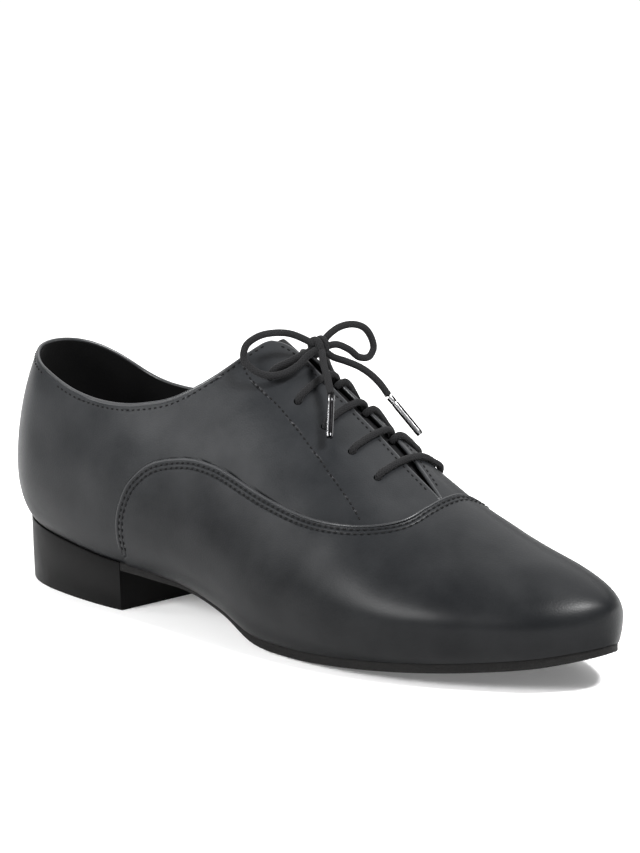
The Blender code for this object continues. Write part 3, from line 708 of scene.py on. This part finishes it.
# how the two cords pass through the knot, in metres from its middle
knotWays = {"in": (-0.0012, 0.0024, -0.0012), "round": (0.0002, -0.0016, 0.0010),
            "out": (0.0022, -0.0008, -0.0004)}
knotShape = {"high": 0.0026, "deep": 0.0029, "wide": 0.0052, "turn": 3.3 * math.pi, "thick": 1.15}
# the last entry holds painted shade: two heights between which the leather darkens towards the sole, and the
# share of colour and specular kept at the lower one
leatherValues = {"grain": 850.0, "dark": (0.0068, 0.0075, 0.0085), "light": (0.0099, 0.0108, 0.0122),
                 "rough": (0.38, 0.48), "coat": 0.03, "coatRough": 0.28, "specular": (0.15, 0.24),
                 "bump": 0.20, "paintedShadeHeights": (0.004, 0.072, 0.28)}
materials = {
    # the last number of each trough is painted shade darkening the stitch channel
    "quarters": leatherMaterial("quarterLeather", leatherValues, (
        ("collarLine", 0.0, 0.0008, 0.30, 0.45), ("facingLine", 0.0, 0.0008, 0.30, 0.40),
        ("seamLine", 0.0004, 0.0012, 0.30, 0.70))),
    "vamp": leatherMaterial("vampLeather", leatherValues, (
        ("seamLine", 0.0015, 0.0007, 0.30, 0.25), ("seamLine", 0.0033, 0.0007, 0.30, 0.25))),
    # the folded edge is lighter and glossier than the rest of the leather: a painted highlight along the
    # rolled edge
    "edge": leatherMaterial("foldedEdge", {**leatherValues, "dark": (0.015, 0.016, 0.017),
                                           "light": (0.022, 0.023, 0.025), "rough": (0.30, 0.38),
                                           "specular": (0.36, 0.44)}),
    "tongue": leatherMaterial("tongueLeather", {**leatherValues, "dark": (0.004, 0.004, 0.004),
                                                "light": (0.007, 0.007, 0.008), "rough": (0.5, 0.6),
                                                "coat": 0.0, "specular": (0.13, 0.17)}),
    "lining": suedeMaterial("liningCloth", {"dark": (0.0012, 0.0012, 0.0013),
                                            "light": (0.0030, 0.0030, 0.0032), "rough": 0.95, "sheen": 0.01,
                                            "scale": 1500.0, "bump": 0.3, "specular": 0.08}),
    "sole": suedeMaterial("soleSuede", {"dark": (0.0020, 0.0020, 0.0020), "light": (0.0060, 0.0056, 0.0054),
                                        "rough": 0.85, "sheen": 0.02, "scale": 1300.0, "bump": 0.7,
                                        "specular": 0.15}),
    "heel": blockMaterial("heelBlock", {"dark": (0.0020, 0.0020, 0.0020), "light": (0.0034, 0.0033, 0.0033),
                                        "rough": (0.34, 0.44), "coat": 0.01, "specular": 0.05}),
    "lace": laceMaterial("laceBraid", {"strand": 0.0012, "dark": (0.0015, 0.0015, 0.0017),
                                       "light": (0.0070, 0.0070, 0.0076), "rough": 0.85, "sheen": 0.03,
                                       "bump": 0.5, "specular": 0.15}),
    "thread": laceMaterial("thread", {"strand": 0.0004, "dark": (0.0010, 0.0010, 0.0010),
                                      "light": (0.0030, 0.0030, 0.0032), "rough": 0.7, "sheen": 0.0,
                                      "bump": 0.2, "specular": 0.12}),
    # the tip's dark and light colours alternate round it as painted reflection bands
    "tip": metalMaterial("tipMetal", {"dark": (0.020, 0.020, 0.021), "light": (0.50, 0.50, 0.51),
                                      "rough": (0.14, 0.24), "reflectionBands": 3.0, "start": 0.6}),
}


def finishPiece(piece, material, slot, *nodes):
    piece.data.materials.clear()
    piece.data.materials.append(materials[material])
    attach(piece, "root")
    if nodes:
        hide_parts(*nodes)
    return piece


# the camera stands where the photographer's stood, worked out from the photo's own proportions
view = {"turn": 45.1289, "height": 12.2623, "place": (1.30030, -1.28935, 0.47465), "lens": 282.79}


def makeCamera():
    deselect()
    bpy.ops.object.camera_add(location=view["place"],
                              rotation=(math.radians(90 - view["height"]), 0, math.radians(view["turn"])))
    camera = bpy.context.object
    camera.name = "camera"
    camera.data.sensor_fit = "HORIZONTAL"
    camera.data.sensor_width = 36
    camera.data.lens = view["lens"]
    camera.data.clip_start = 0.05
    camera.data.clip_end = 50
    bpy.context.scene.camera = camera


def makeLamp(name, place, target, size, power):
    deselect()
    bpy.ops.object.light_add(type="AREA", location=place)
    lamp = bpy.context.object
    lamp.name = name
    lamp.data.shape = "RECTANGLE"
    lamp.data.size = size[0]
    lamp.data.size_y = size[1]
    lamp.data.energy = power
    lamp.rotation_euler = (Vector(target) - Vector(place)).to_track_quat("-Z", "Y").to_euler()


studio = {"world": 0.43, "floor": 0.92, "floorGlow": 0.16, "floorRough": 0.9, "ceiling": 1.30,
          "ceilingWay": (-28, -22), "ceilingSpread": 70}
lamps = (
    ("sideBox", (-0.24, -1.58, 0.84), (0, 0, 0.05), (0.75, 0.55), 39),
    ("counterBox", (-1.30, -0.90, 0.85), (-0.05, 0, 0.05), (0.40, 0.35), 5),
    ("toeBox", (0.62, 0.02, 0.85), (0.12, 0, 0.03), (0.22, 0.22), 20),
)


def makeStudio():
    scene = bpy.context.scene
    scene.view_settings.view_transform = "Standard"
    world = bpy.data.worlds.new("studio")
    scene.world = world
    world.use_nodes = True
    setInputs(world.node_tree.nodes["Background"], Color=(1.0, 1.0, 1.0, 1.0), Strength=studio["world"])
    deselect()
    bpy.ops.mesh.primitive_circle_add(vertices=96, radius=6.0, fill_type="NGON")
    floor = bpy.context.object
    floor.name = "studioFloor"
    material, _, shader = newMaterial("paleFloor")
    setInputs(shader, Base_Color=(*[studio["floor"]] * 3, 1.0), Emission_Color=(1.0, 1.0, 1.0, 1.0),
              Emission_Strength=studio["floorGlow"], Roughness=studio["floorRough"])
    floor.data.materials.append(material)
    for values in lamps:
        makeLamp(*values)
    deselect()
    tilt, swing = studio["ceilingWay"]
    bpy.ops.object.light_add(type="SUN", location=(-1, -1, 3),
                             rotation=(math.radians(tilt), math.radians(swing), 0))
    sun = bpy.context.object
    sun.name = "ceiling"
    sun.data.energy = studio["ceiling"]
    sun.data.angle = math.radians(studio["ceilingSpread"])


makeCamera()
makeStudio()
print("camera and studio")

# the bow and the rows of lace
bow = {
    "loopNear": ((-0.10, -0.20, 0.14), (-0.21, -0.36, 0.22), (-0.32, -0.58, 0.25), (-0.50, -0.76, 0.19),
                 (-0.63, -0.88, 0.04), (-0.63, -0.92, -0.13), (-0.48, -0.90, -0.27), (-0.26, -0.78, -0.36),
                 (-0.10, -0.60, -0.33), (0.00, -0.40, -0.22), (0.05, -0.23, -0.08)),
    "loopFar": ((0.04, 0.19, 0.16), (0.12, 0.33, 0.27), (0.23, 0.49, 0.31), (0.31, 0.66, 0.25),
                (0.35, 0.78, 0.09), (0.37, 0.81, -0.09), (0.37, 0.73, -0.19), (0.35, 0.53, -0.18),
                (0.30, 0.37, -0.05), (0.18, 0.18, 0.04)),
    "endFar": ((0.19, 0.15, -0.15), (0.31, 0.28, -0.21), (0.50, 0.43, -0.31), (0.70, 0.56, -0.49),
               (0.87, 0.64, -0.72)),
    "tipFar": (0.565, 0.30, -0.72),
    "endNear": ((0.22, -0.12, -0.06), (0.36, -0.23, -0.18), (0.58, -0.36, -0.36), (0.77, -0.48, -0.55)),
    "tipNear": (0.476, -0.52, -0.71),
}


def eyelet(number, side):
    station = lace["firstEyelet"] + number * lace["pitch"]
    return station, throatEdge(station, side) + side * lace["offset"]


def layRow(name, node, stations, ys, outs):
    route = [over(place, y, out) for place, y, out in zip(stations, ys, outs)]
    finishPiece(tubePiece(name, route, lace["radius"])[0], "lace", "lace", node)


def makeLaceRows():
    # each row rises from its eyelets; all but the top one dip under the far facing and come out again
    radius = lace["radius"]
    riding = lace["riding"] * radius
    hole = lace["mouth"] * radius
    bend = lace["bend"] * radius
    sunk = [*lace["sunk"], lace["rising"] * radius]
    for number in range(1, lace["eyelets"]):
        station, near = eyelet(number, -1)
        far = eyelet(number, 1)[1]
        outer = throatEdge(station, -1)
        inner = throatEdge(station, 1)
        nearHole = [near, near + 0.1 * hole, near + hole]
        farHole = [far, far - 0.1 * hole, far - hole]
        if number == lace["eyelets"] - 1:
            ys = [*nearHole, *np.linspace(near + bend, far - bend, 5), *farHole[::-1]]
            outs = [*sunk, *[riding] * 5, *sunk[::-1]]
            layRow("laceRow4", "lace_row_4", [station] * len(ys), ys, outs)
            continue
        ys = [*nearHole, *np.linspace(near + bend, outer, 3),
              (outer + inner) / 2, inner - 0.2 * radius, inner + radius]
        outs = [*sunk, riding, riding, riding, 0.9 * riding, -0.0002, -0.0024]
        layRow(f"laceRow{number}Near", f"lace_row_{number}_near", [station] * len(ys), ys, outs)
        front = station + (2 * radius + 0.0003) / last["length"]
        edge = throatEdge(front, 1)
        ys = [*farHole, *np.linspace(far - bend, edge + 0.8 * radius, 3),
              edge - 0.3 * radius, edge - 1.1 * radius, edge - 1.5 * radius]
        stations = np.interp(ys, [edge, far], [front, station])
        outs = [*sunk, riding, riding, 1.15 * riding, riding, -0.0004, -0.0030]
        layRow(f"laceRow{number}Far", f"lace_row_{number}_far", stations, ys, outs)


def bowPlaces(knot, name):
    return [knot + lace["reach"] * np.array(share) for share in bow[name]]


def lineLength(line):
    return float(np.linalg.norm(np.diff(line, axis=0), axis=1).sum())


def makeTip(name, start, way, node):
    # a metal sleeve, pinched where it grips the lace and turned in at its end
    way = np.array(way) / np.linalg.norm(way)
    route = [start + share * lace["tipLength"] * way for share in (0, 0.25, 0.5, 0.75, 1.0)]

    def pinch(share):
        grip = lace["pinch"] * np.exp(-((share - 0.16) / 0.03) ** 2)
        return 1.0 - grip - lace["turnedIn"] * np.clip((share - 0.90) / 0.10, 0, 1) ** 2

    piece = tubePiece(name, route, lace["tipRadius"], sides=24, step=0.0003, ends=0.25, profile=pinch)[0]
    return finishPiece(piece, "tip", "lace_tip", node)


def makeBow():
    radius = lace["radius"]
    station, share, lift = lace["knotPlace"]
    knot = over(station, share * last["halfBreadth"], lift)
    cords = {}
    for name, side, loop, end in (("laceNear", -1, "loopFar", "endNear"),
                                  ("laceFar", 1, "loopNear", "endFar")):
        start, y = eyelet(0, side)
        hole = -side * lace["mouth"] * radius
        ways = {way: knot + np.array(place) * (1, side, 1) for way, place in knotWays.items()}
        route = [over(start, y, lace["topSunk"][0]), over(start, y + 0.1 * hole, lace["topSunk"][1]),
                 over(start, y + hole, lace["topRising"] * radius),
                 over((start + station) / 2, (y + knot[1]) / 2, lace["topArch"] * radius),
                 ways["in"], ways["round"], *bowPlaces(knot, loop), ways["out"], *bowPlaces(knot, end)]
        cords[name] = tubePiece(name, route, radius, step=0.0007, ends=0.3)
    knotRoute = []
    for angle in np.linspace(0, knotShape["turn"], 21):
        across = knotShape["wide"] * (angle / knotShape["turn"] - 0.5)
        knotRoute.append(knot + np.array([knotShape["deep"] * math.sin(angle), across,
                                          -knotShape["high"] * math.cos(angle)]))
    knotPiece = tubePiece("laceKnot", knotRoute, knotShape["thick"] * radius, step=0.0005)[0]
    finishPiece(knotPiece, "lace", "lace", "lace_knot")
    tipNear = makeTip("tipNear", bowPlaces(knot, "endNear")[-1], bow["tipNear"], "tip_near")
    tipFar = makeTip("tipFar", bowPlaces(knot, "endFar")[-1], bow["tipFar"], "tip_far")
    nearNodes = ("lace_top_near", "lace_loop_far", "lace_end_near")
    farNodes = ("lace_top_far", "lace_loop_near", "lace_end_far")
    for name, nodes, tip in (("laceNear", nearNodes, [tipNear, knotPiece]), ("laceFar", farNodes, [tipFar])):
        piece, line = cords[name]
        finishPiece(piece, "lace", "lace", *nodes)
        print(name, "length", round(lineLength(line), 4))


makeLaceRows()
makeBow()
print("laces and bow")

# the upper: quarters with their facings, the vamp over them, and the lining
upper = {"quarter": 0.0011, "lining": 0.0008, "vamp": 0.0009, "edgeRadius": 0.00075, "seamRadius": 0.00045,
         "quarterGrid": (190, 110), "liningGrid": (120, 70), "vampGrid": (170, 110), "vampStart": 0.262,
         "vampSpan": 0.985, "liningGap": 0.00002, "vampGap": 0.00003, "rollPitch": 0.0016,
         "rollSunk": 0.00005, "seamProud": 0.75}
# how far the cutting tools reach, as shares of the last's sizes
cutter = {"back": -0.15, "collarOut": 2, "top": 1.7, "throatLow": 0.4, "vampFront": 1.1, "vampTop": 1.3,
          "vampOut": 1.5}

# soft creases and swells: two ends as station and across, breadth and height in metres
creaseNames = ("startAt", "startAcross", "endAt", "endAcross", "breadth", "height")
creases = (
    (0.130, -0.60, 0.230, -0.52, 0.0090, -0.00070),
    (0.090, -0.46, 0.160, -0.44, 0.0080, 0.00060),
    (0.240, -0.62, 0.290, -0.50, 0.0090, 0.00060),
    (0.300, -0.44, 0.380, -0.40, 0.0100, -0.00060),
    (0.470, -0.62, 0.560, -0.66, 0.0120, 0.00050),
    (0.600, -0.52, 0.640, -0.34, 0.0080, -0.00045),
    (0.675, -0.50, 0.730, -0.22, 0.0080, -0.00050),
    (0.735, -0.30, 0.745, 0.10, 0.0060, -0.00040),
    (0.770, -0.20, 0.780, 0.35, 0.0075, 0.00035),
    (0.880, -0.30, 0.920, -0.05, 0.0090, 0.00050),
    (0.450, 0.55, 0.600, 0.62, 0.0100, -0.00050),
    (0.150, 0.55, 0.250, 0.50, 0.0100, -0.00060),
)


def relief(turn, across):
    surface = skin(turn, across)
    height = np.zeros(surface.shape[:-1])
    for row in creases:
        crease = dict(zip(creaseNames, row))
        start = skin(np.array([float(turnOf(crease["startAt"]))]), np.array([crease["startAcross"]]))[0]
        way = skin(np.array([float(turnOf(crease["endAt"]))]), np.array([crease["endAcross"]]))[0] - start
        share = np.clip(((surface - start) @ way) / (way @ way), 0, 1)
        far = np.linalg.norm(surface - start - share[..., None] * way, axis=-1)
        height = height + crease["height"] * np.exp(-(far / crease["breadth"]) ** 2)
    return height


def shell(name, out, thickness, columns, rows, startTurn=0.0, span=1.0):
    def place(u, v):
        turn, across = startTurn + (math.pi - startTurn) * u, span * (2 * v - 1)
        return spot(turn, across, out + relief(turn, across))

    piece = gridPiece(name, columns, rows, place)
    applyModifier(piece, "SOLIDIFY", thickness=thickness, offset=-1, use_even_offset=True)
    return piece


def collarTool():
    rings = []
    far = cutter["collarOut"] * last["halfBreadth"]
    near = last["ruled"] * last["halfBreadth"]
    top = cutter["top"] * last["rise"]
    for place in [cutter["back"], *np.linspace(0, collarRows[-1][0], 90)]:
        x = place * last["length"]
        low = [(x, y, float(collarHeight(x, y))) for y in (-far, -near, 0, near, far)]
        rings.append([*low, *[(x, y, top) for y in (far, near, 0, -near, -far)]])
    return ringPiece("collarTool", rings)


def throatTool():
    rings = []
    for station in np.linspace(throatRows[0][0], throatRows[-1][0], 90):
        x = station * last["length"]
        outer, inner = throatEdge(station, -1), throatEdge(station, 1)
        low, top = cutter["throatLow"] * last["rise"], cutter["top"] * last["rise"]
        rings.append([(x, outer, low), (x, inner, low), (x, inner, top), (x, outer, top)])
    return ringPiece("throatTool", rings)


def vampTool():
    line = vampLine(90)
    front, top = cutter["vampFront"] * last["length"], cutter["vampTop"] * last["rise"]
    low = -last["heelLift"]
    loop = [(line[0][0], low), *line, (line[-1][0], top), (front, top), (front, low)]
    far = cutter["vampOut"] * last["halfBreadth"]
    return ringPiece("vampTool", [[(x, y, z) for x, z in loop] for y in (-far, far)])


def punchEyelets(*pieces):
    punches = []
    for number in range(lace["eyelets"]):
        for side in (-1, 1):
            station, y = eyelet(number, side)
            top = Vector(over(station, y, 0.003) - np.array(last["middle"]))
            low = Vector(over(station, y, -0.005) - np.array(last["middle"]))
            deselect()
            bpy.ops.mesh.primitive_cylinder_add(vertices=28, radius=lace["hole"], depth=(top - low).length,
                                                location=(top + low) / 2,
                                                rotation=(top - low).to_track_quat("Z", "Y").to_euler())
            punches.append(bpy.context.object)
    deselect()
    for punch in punches:
        punch.select_set(True)
    bpy.context.view_layer.objects.active = punches[0]
    bpy.ops.object.join()
    punch = bpy.context.object
    for piece in pieces:
        cutWith(piece, punch)
    remove(punch)


def smoothAll(piece, angle=35):
    makeActive(piece)
    bpy.ops.object.shade_smooth_by_angle(angle=math.radians(angle))


def makeUpper():
    quarters = shell("quarters", 0.0, upper["quarter"], *upper["quarterGrid"])
    lining = shell("lining", -upper["quarter"] - upper["liningGap"], upper["lining"], *upper["liningGrid"])
    for tool in (collarTool(), throatTool()):
        for piece in (quarters, lining):
            cutWith(piece, tool)
        remove(tool)
    punchEyelets(quarters, lining)
    vamp = shell("vamp", upper["vamp"], upper["vamp"] - upper["vampGap"], *upper["vampGrid"],
                 float(turnOf(upper["vampStart"])), upper["vampSpan"])
    tool = vampTool()
    cutWith(vamp, tool, "INTERSECT")
    remove(tool)
    for piece in (quarters, lining, vamp):
        smoothAll(piece)
    finishPiece(quarters, "quarters", "upper_leather", "upper")
    finishPiece(vamp, "vamp", "upper_leather")
    finishPiece(lining, "lining", "upper_leather")
    return quarters, vamp


quarters, vamp = makeUpper()
print("upper")


# search: shares across the surface from the edge to the ridge; open: where the throat's cut runs free
lines = {"search": (0.86, 0.001), "count": 240, "open": 0.445, "under": 0.0002, "past": 0.001,
         "frontAbove": 0.0006}


def collarPoints(side, out, drop=0.0):
    # the places on one side of the surface where the collar's cut leaves it, from front to back;
    # drop gives a line that lies lower
    points = []
    places = side * np.linspace(*lines["search"], lines["count"])
    for turn in np.linspace(float(turnOf(collarRows[-1][0])), 0.0, lines["count"]):
        line = spot(np.full_like(places, turn), places, out)
        short = line[:, 2] - collarHeight(line[:, 0], line[:, 1]) + drop
        index = int(np.argmax(short > 0))
        if index == 0:
            continue
        share = short[index - 1] / (short[index - 1] - short[index])
        point = line[index - 1] + share * (line[index] - line[index - 1])
        if not inThroat(point[0], point[1]):
            points.append(point)
    return points


def throatPoints(side, out):
    points = []
    for station in np.linspace(throatRows[0][0], throatRows[-1][0] + lines["past"], 120):
        point = over(station, throatEdge(station, side), out)
        if point[2] < collarHeight(point[0], point[1]) - lines["under"] or station > lines["open"]:
            points.append(point)
    return points


def seamPoints(side, out):
    # each point of the vamp's side view line, found on the surface
    points = []
    places = side * np.linspace(upper["vampSpan"], 0.02, 200)
    for x, z in vampLine(70):
        wantX, wantZ = x, z
        for again in range(4):
            turn = float(turnOf(wantX / last["length"]))
            line = skin(np.full_like(places, turn), places)
            across = float(np.interp(wantZ, line[:, 2], places))
            place = spot(np.array([turn]), np.array([across]), out)[0]
            wantX += x - place[0]
            wantZ += z - place[2]
        points.append(place)
    return points


def seamFront(out):
    # the vamp's edge straight across the foot, in front of the throat
    x, z = vampLine(70)[-1]
    turn = float(turnOf(x / last["length"]))
    places = np.linspace(-0.5, 0.5, 121)
    line = spot(np.full_like(places, turn), places, out)
    return [place for place in line if place[2] > z + lines["frontAbove"]]


def makeRoll(name, route, radius, sides, step):
    piece, line = tubePiece(name, evenly(np.array(route), upper["rollPitch"]), radius, sides=sides, step=step)
    finishPiece(piece, "edge", "upper_leather")
    return line


def makeEdges():
    # folded edges: a thin roll along the collar and facings, and a finer one along the vamp
    out = -upper["edgeRadius"] + upper["rollSunk"]
    route = [*throatPoints(-1, out)[::-1], *collarPoints(-1, out), *collarPoints(1, out)[::-1][1:],
             *throatPoints(1, out)]
    makeRoll("collarRoll", route, upper["edgeRadius"], 12, 0.0009)
    out = upper["vamp"] - upper["seamRadius"] * upper["seamProud"]
    route = [*seamPoints(-1, out), *seamFront(out), *seamPoints(1, out)[::-1]]
    return makeRoll("vampRoll", route, upper["seamRadius"], 10, 0.0008)


stitches = {"pitch": 0.0026, "length": 0.0015, "radius": 0.00036, "dip": 0.35, "collarDrop": 0.0017,
            "vampRows": (0.0015, 0.0033), "edge": 0.0016, "edgeFrom": 0.452, "edgeTo": 0.718}
facing = {"stations": (0.4235, 0.4370, 0.4610, 0.5050, 0.5589, 0.6170, 0.6757, 0.6904),
          "outward": (0.0194, 0.0210, 0.0220, 0.0223, 0.0246, 0.0281, 0.0323, 0.0336), "middle": 0.0097}


def sew(name, line, tree):
    finishPiece(stitchRow(name, line, tree, stitches), "thread", "upper_leather")


def makeStitches(seam):
    middle = np.array(last["middle"])
    quarterTree = surfaceOf(quarters)
    vampTree = surfaceOf(vamp)
    seam = evenly(seam, 0.0012)
    for number, away in enumerate(stitches["vampRows"]):
        sew(f"vampStitches{number + 1}", besides(seam, quarterTree, -away), vampTree)
    low = stitches["collarDrop"]
    collar = np.array([*collarPoints(-1, 0.0, low), *collarPoints(1, 0.0, low)[::-1][1:]]) - middle
    sew("collarStitches", evenly(collar, 0.002), quarterTree)
    for side, name in ((-1, "facingStitchesNear"), (1, "facingStitchesFar")):
        line = [over(station, throatEdge(station, side) + side * stitches["edge"])
                for station in np.linspace(stitches["edgeFrom"], stitches["edgeTo"], 60)]
        sew(name, np.array(line) - middle, quarterTree)
    marks = []
    for side, name in ((-1, "facingRowNear"), (1, "facingRowFar")):
        line = []
        for station in np.linspace(facing["stations"][0], facing["stations"][-1], 60):
            away = float(through(facing["stations"], facing["outward"], station))
            line.append(over(station, facing["middle"] + side * away))
        line = np.array(line) - middle
        marks.extend(evenly(line, 0.0004))
        sew(name, line, quarterTree)
    markFar(quarters, "facingLine", marks)
    markFar(quarters, "collarLine", evenly(collar, 0.0004))
    for piece in (quarters, vamp):
        markFar(piece, "seamLine", evenly(seam, 0.0004))


seamLine = makeEdges()
print("folded edges")
makeStitches(seamLine)
print("stitches")

# the sole, heel, sock and tongue
sole = {"breast": 0.2677, "reach": 0.0005, "thickness": 0.0040, "heelReach": 0.0008, "heelTaper": 0.0009,
        "clearance": 0.0003, "round": 0.0005, "bevel": 0.3, "breastGap": 0.0001, "topDrop": 0.4}


def plateRing(turn, topRim, lowRim, topHeight, lowHeight, columns, soften):
    # across the top, round the inner edge, back along the bottom and round the outer edge
    ends = {side: (topRim(turn, side), lowRim(turn, side)) for side in (-1, 1)}
    shares = np.linspace(0, 1, columns + 1)
    top = ends[-1][0] + (ends[1][0] - ends[-1][0]) * shares[:, None]
    low = ends[1][1] + (ends[-1][1] - ends[1][1]) * shares[:, None]
    bevel = sole["bevel"]
    reach = min(soften, bevel * np.linalg.norm(top[0] - top[-1]))
    ring = []
    for rim, height, way in ((top, topHeight, -1), (low, lowHeight, 1)):
        for index, (x, y) in enumerate(rim):
            z = height(x, y)
            if index in (0, columns):
                inward = rim[1 if index == 0 else columns - 1] - rim[index]
                inward = inward / max(np.linalg.norm(inward), 1e-9) * reach
                flat = (x + inward[0], y + inward[1], z)
                dropped = (x, y, z + way * soften)
                middle = (x + bevel * inward[0], y + bevel * inward[1], z + bevel * way * soften)
                ring.extend([dropped, middle, flat] if index == 0 else [flat, middle, dropped])
            else:
                ring.append((x, y, z))
    return ring


def rimOut(reach):
    return lambda turn, side: outline(np.array([turn]), side, reach)[0]


def soleTop(x, y):
    return float(bed(x, y)) - sole["topDrop"] * sole["clearance"]


def soleLow(x, y):
    turns = np.linspace(0, math.pi, 400)
    turn = np.interp(x, stationOf(turns) * last["length"], turns)
    return max(float(bed(x, y)) - sole["clearance"] - sole["thickness"] * float(underside(turn, "sole")), 0.0)


def makeSole():
    breast = float(turnOf(sole["breast"]))
    start = float(turnOf(sole["breast"] + sole["breastGap"] / last["length"]))
    turns = [start, *np.linspace(breast, math.pi, 90)[1:]]
    rim = rimOut(sole["reach"])
    rings = [plateRing(turn, rim, rim, soleTop, soleLow, 28, sole["round"]) for turn in turns]
    finishPiece(ringPiece("solePiece", rings), "sole", "sole_suede", "outsole")
    turns = np.linspace(0, breast, 44)
    lowRim = rimOut(sole["heelReach"] - sole["heelTaper"])
    rings = [plateRing(turn, rimOut(sole["heelReach"]), lowRim, soleTop, lambda x, y: 0.0, 20, sole["round"])
             for turn in turns]
    finishPiece(ringPiece("heelPiece", rings), "heel", "heel_block", "heel")


sock = {"inset": 0.0024, "rim": 0.0020, "top": 0.0043, "low": 0.0023, "round": 0.0005}


def makeSock():
    def rim(turn, side):
        climbs = np.linspace(0, 0.25, 51)
        line = spot(turn, side * (1 - climbs), -sock["inset"])
        above = line[:, 2] - bed(line[:, 0], line[:, 1]) - sock["rim"]
        return spot(turn, side * (1 - float(np.interp(0.0, above, climbs))), -sock["inset"])[:2]

    def level(name):
        return lambda x, y: float(bed(x, y)) + sock[name]

    rings = [plateRing(turn, rim, rim, level("top"), level("low"), 20, sock["round"])
             for turn in np.linspace(0, math.pi, 90)]
    finishPiece(ringPiece("sockPiece", rings), "lining", "sock", "insole")


tongue = {"top": 0.440, "foot": 0.765, "width": 0.042, "thickness": 0.0018, "under": 0.0028,
          "flap": 0.0005, "flapHalf": 0.0180, "flapEnd": 0.470, "narrow": 0.72, "tip": 0.45, "rounding": 0.10}


def makeTongue():
    rings = []
    for station in np.linspace(tongue["top"], tongue["foot"], 60):
        turn = float(turnOf(station))
        grown = (tongue["foot"] - station) / (tongue["foot"] - tongue["top"])
        short = max(0.0, (grown - 1 + tongue["rounding"]) / tongue["rounding"])
        rounded = math.sqrt(max(0.0, 1 - short**2))
        half = (tongue["width"] / 2 * (tongue["narrow"] + (1 - tongue["narrow"]) * grown)
                * (tongue["tip"] + (1 - tongue["tip"]) * rounded))
        middle = throatEdge(min(station, throatRows[3][0]), 0)
        ys = np.linspace(middle - half, middle + half, 25)
        places = np.array([acrossAt(turn, y) for y in ys])
        flapEnd = tongue["flapEnd"]
        rise = tongue["flap"] * np.clip((flapEnd - station) / (flapEnd - tongue["top"]), 0, 1)
        lift = rise * np.clip(1 - ((ys - middle) / tongue["flapHalf"]) ** 2, 0, 1) - tongue["under"]
        rings.append([*spot(turn, places, lift),
                      *spot(turn, places[::-1], lift[::-1] - tongue["thickness"])])
    finishPiece(ringPiece("tonguePiece", rings), "tongue", "tongue_leather", "tongue")


makeSole()
makeSock()
makeTongue()
print("sole, heel, sock and tongue")
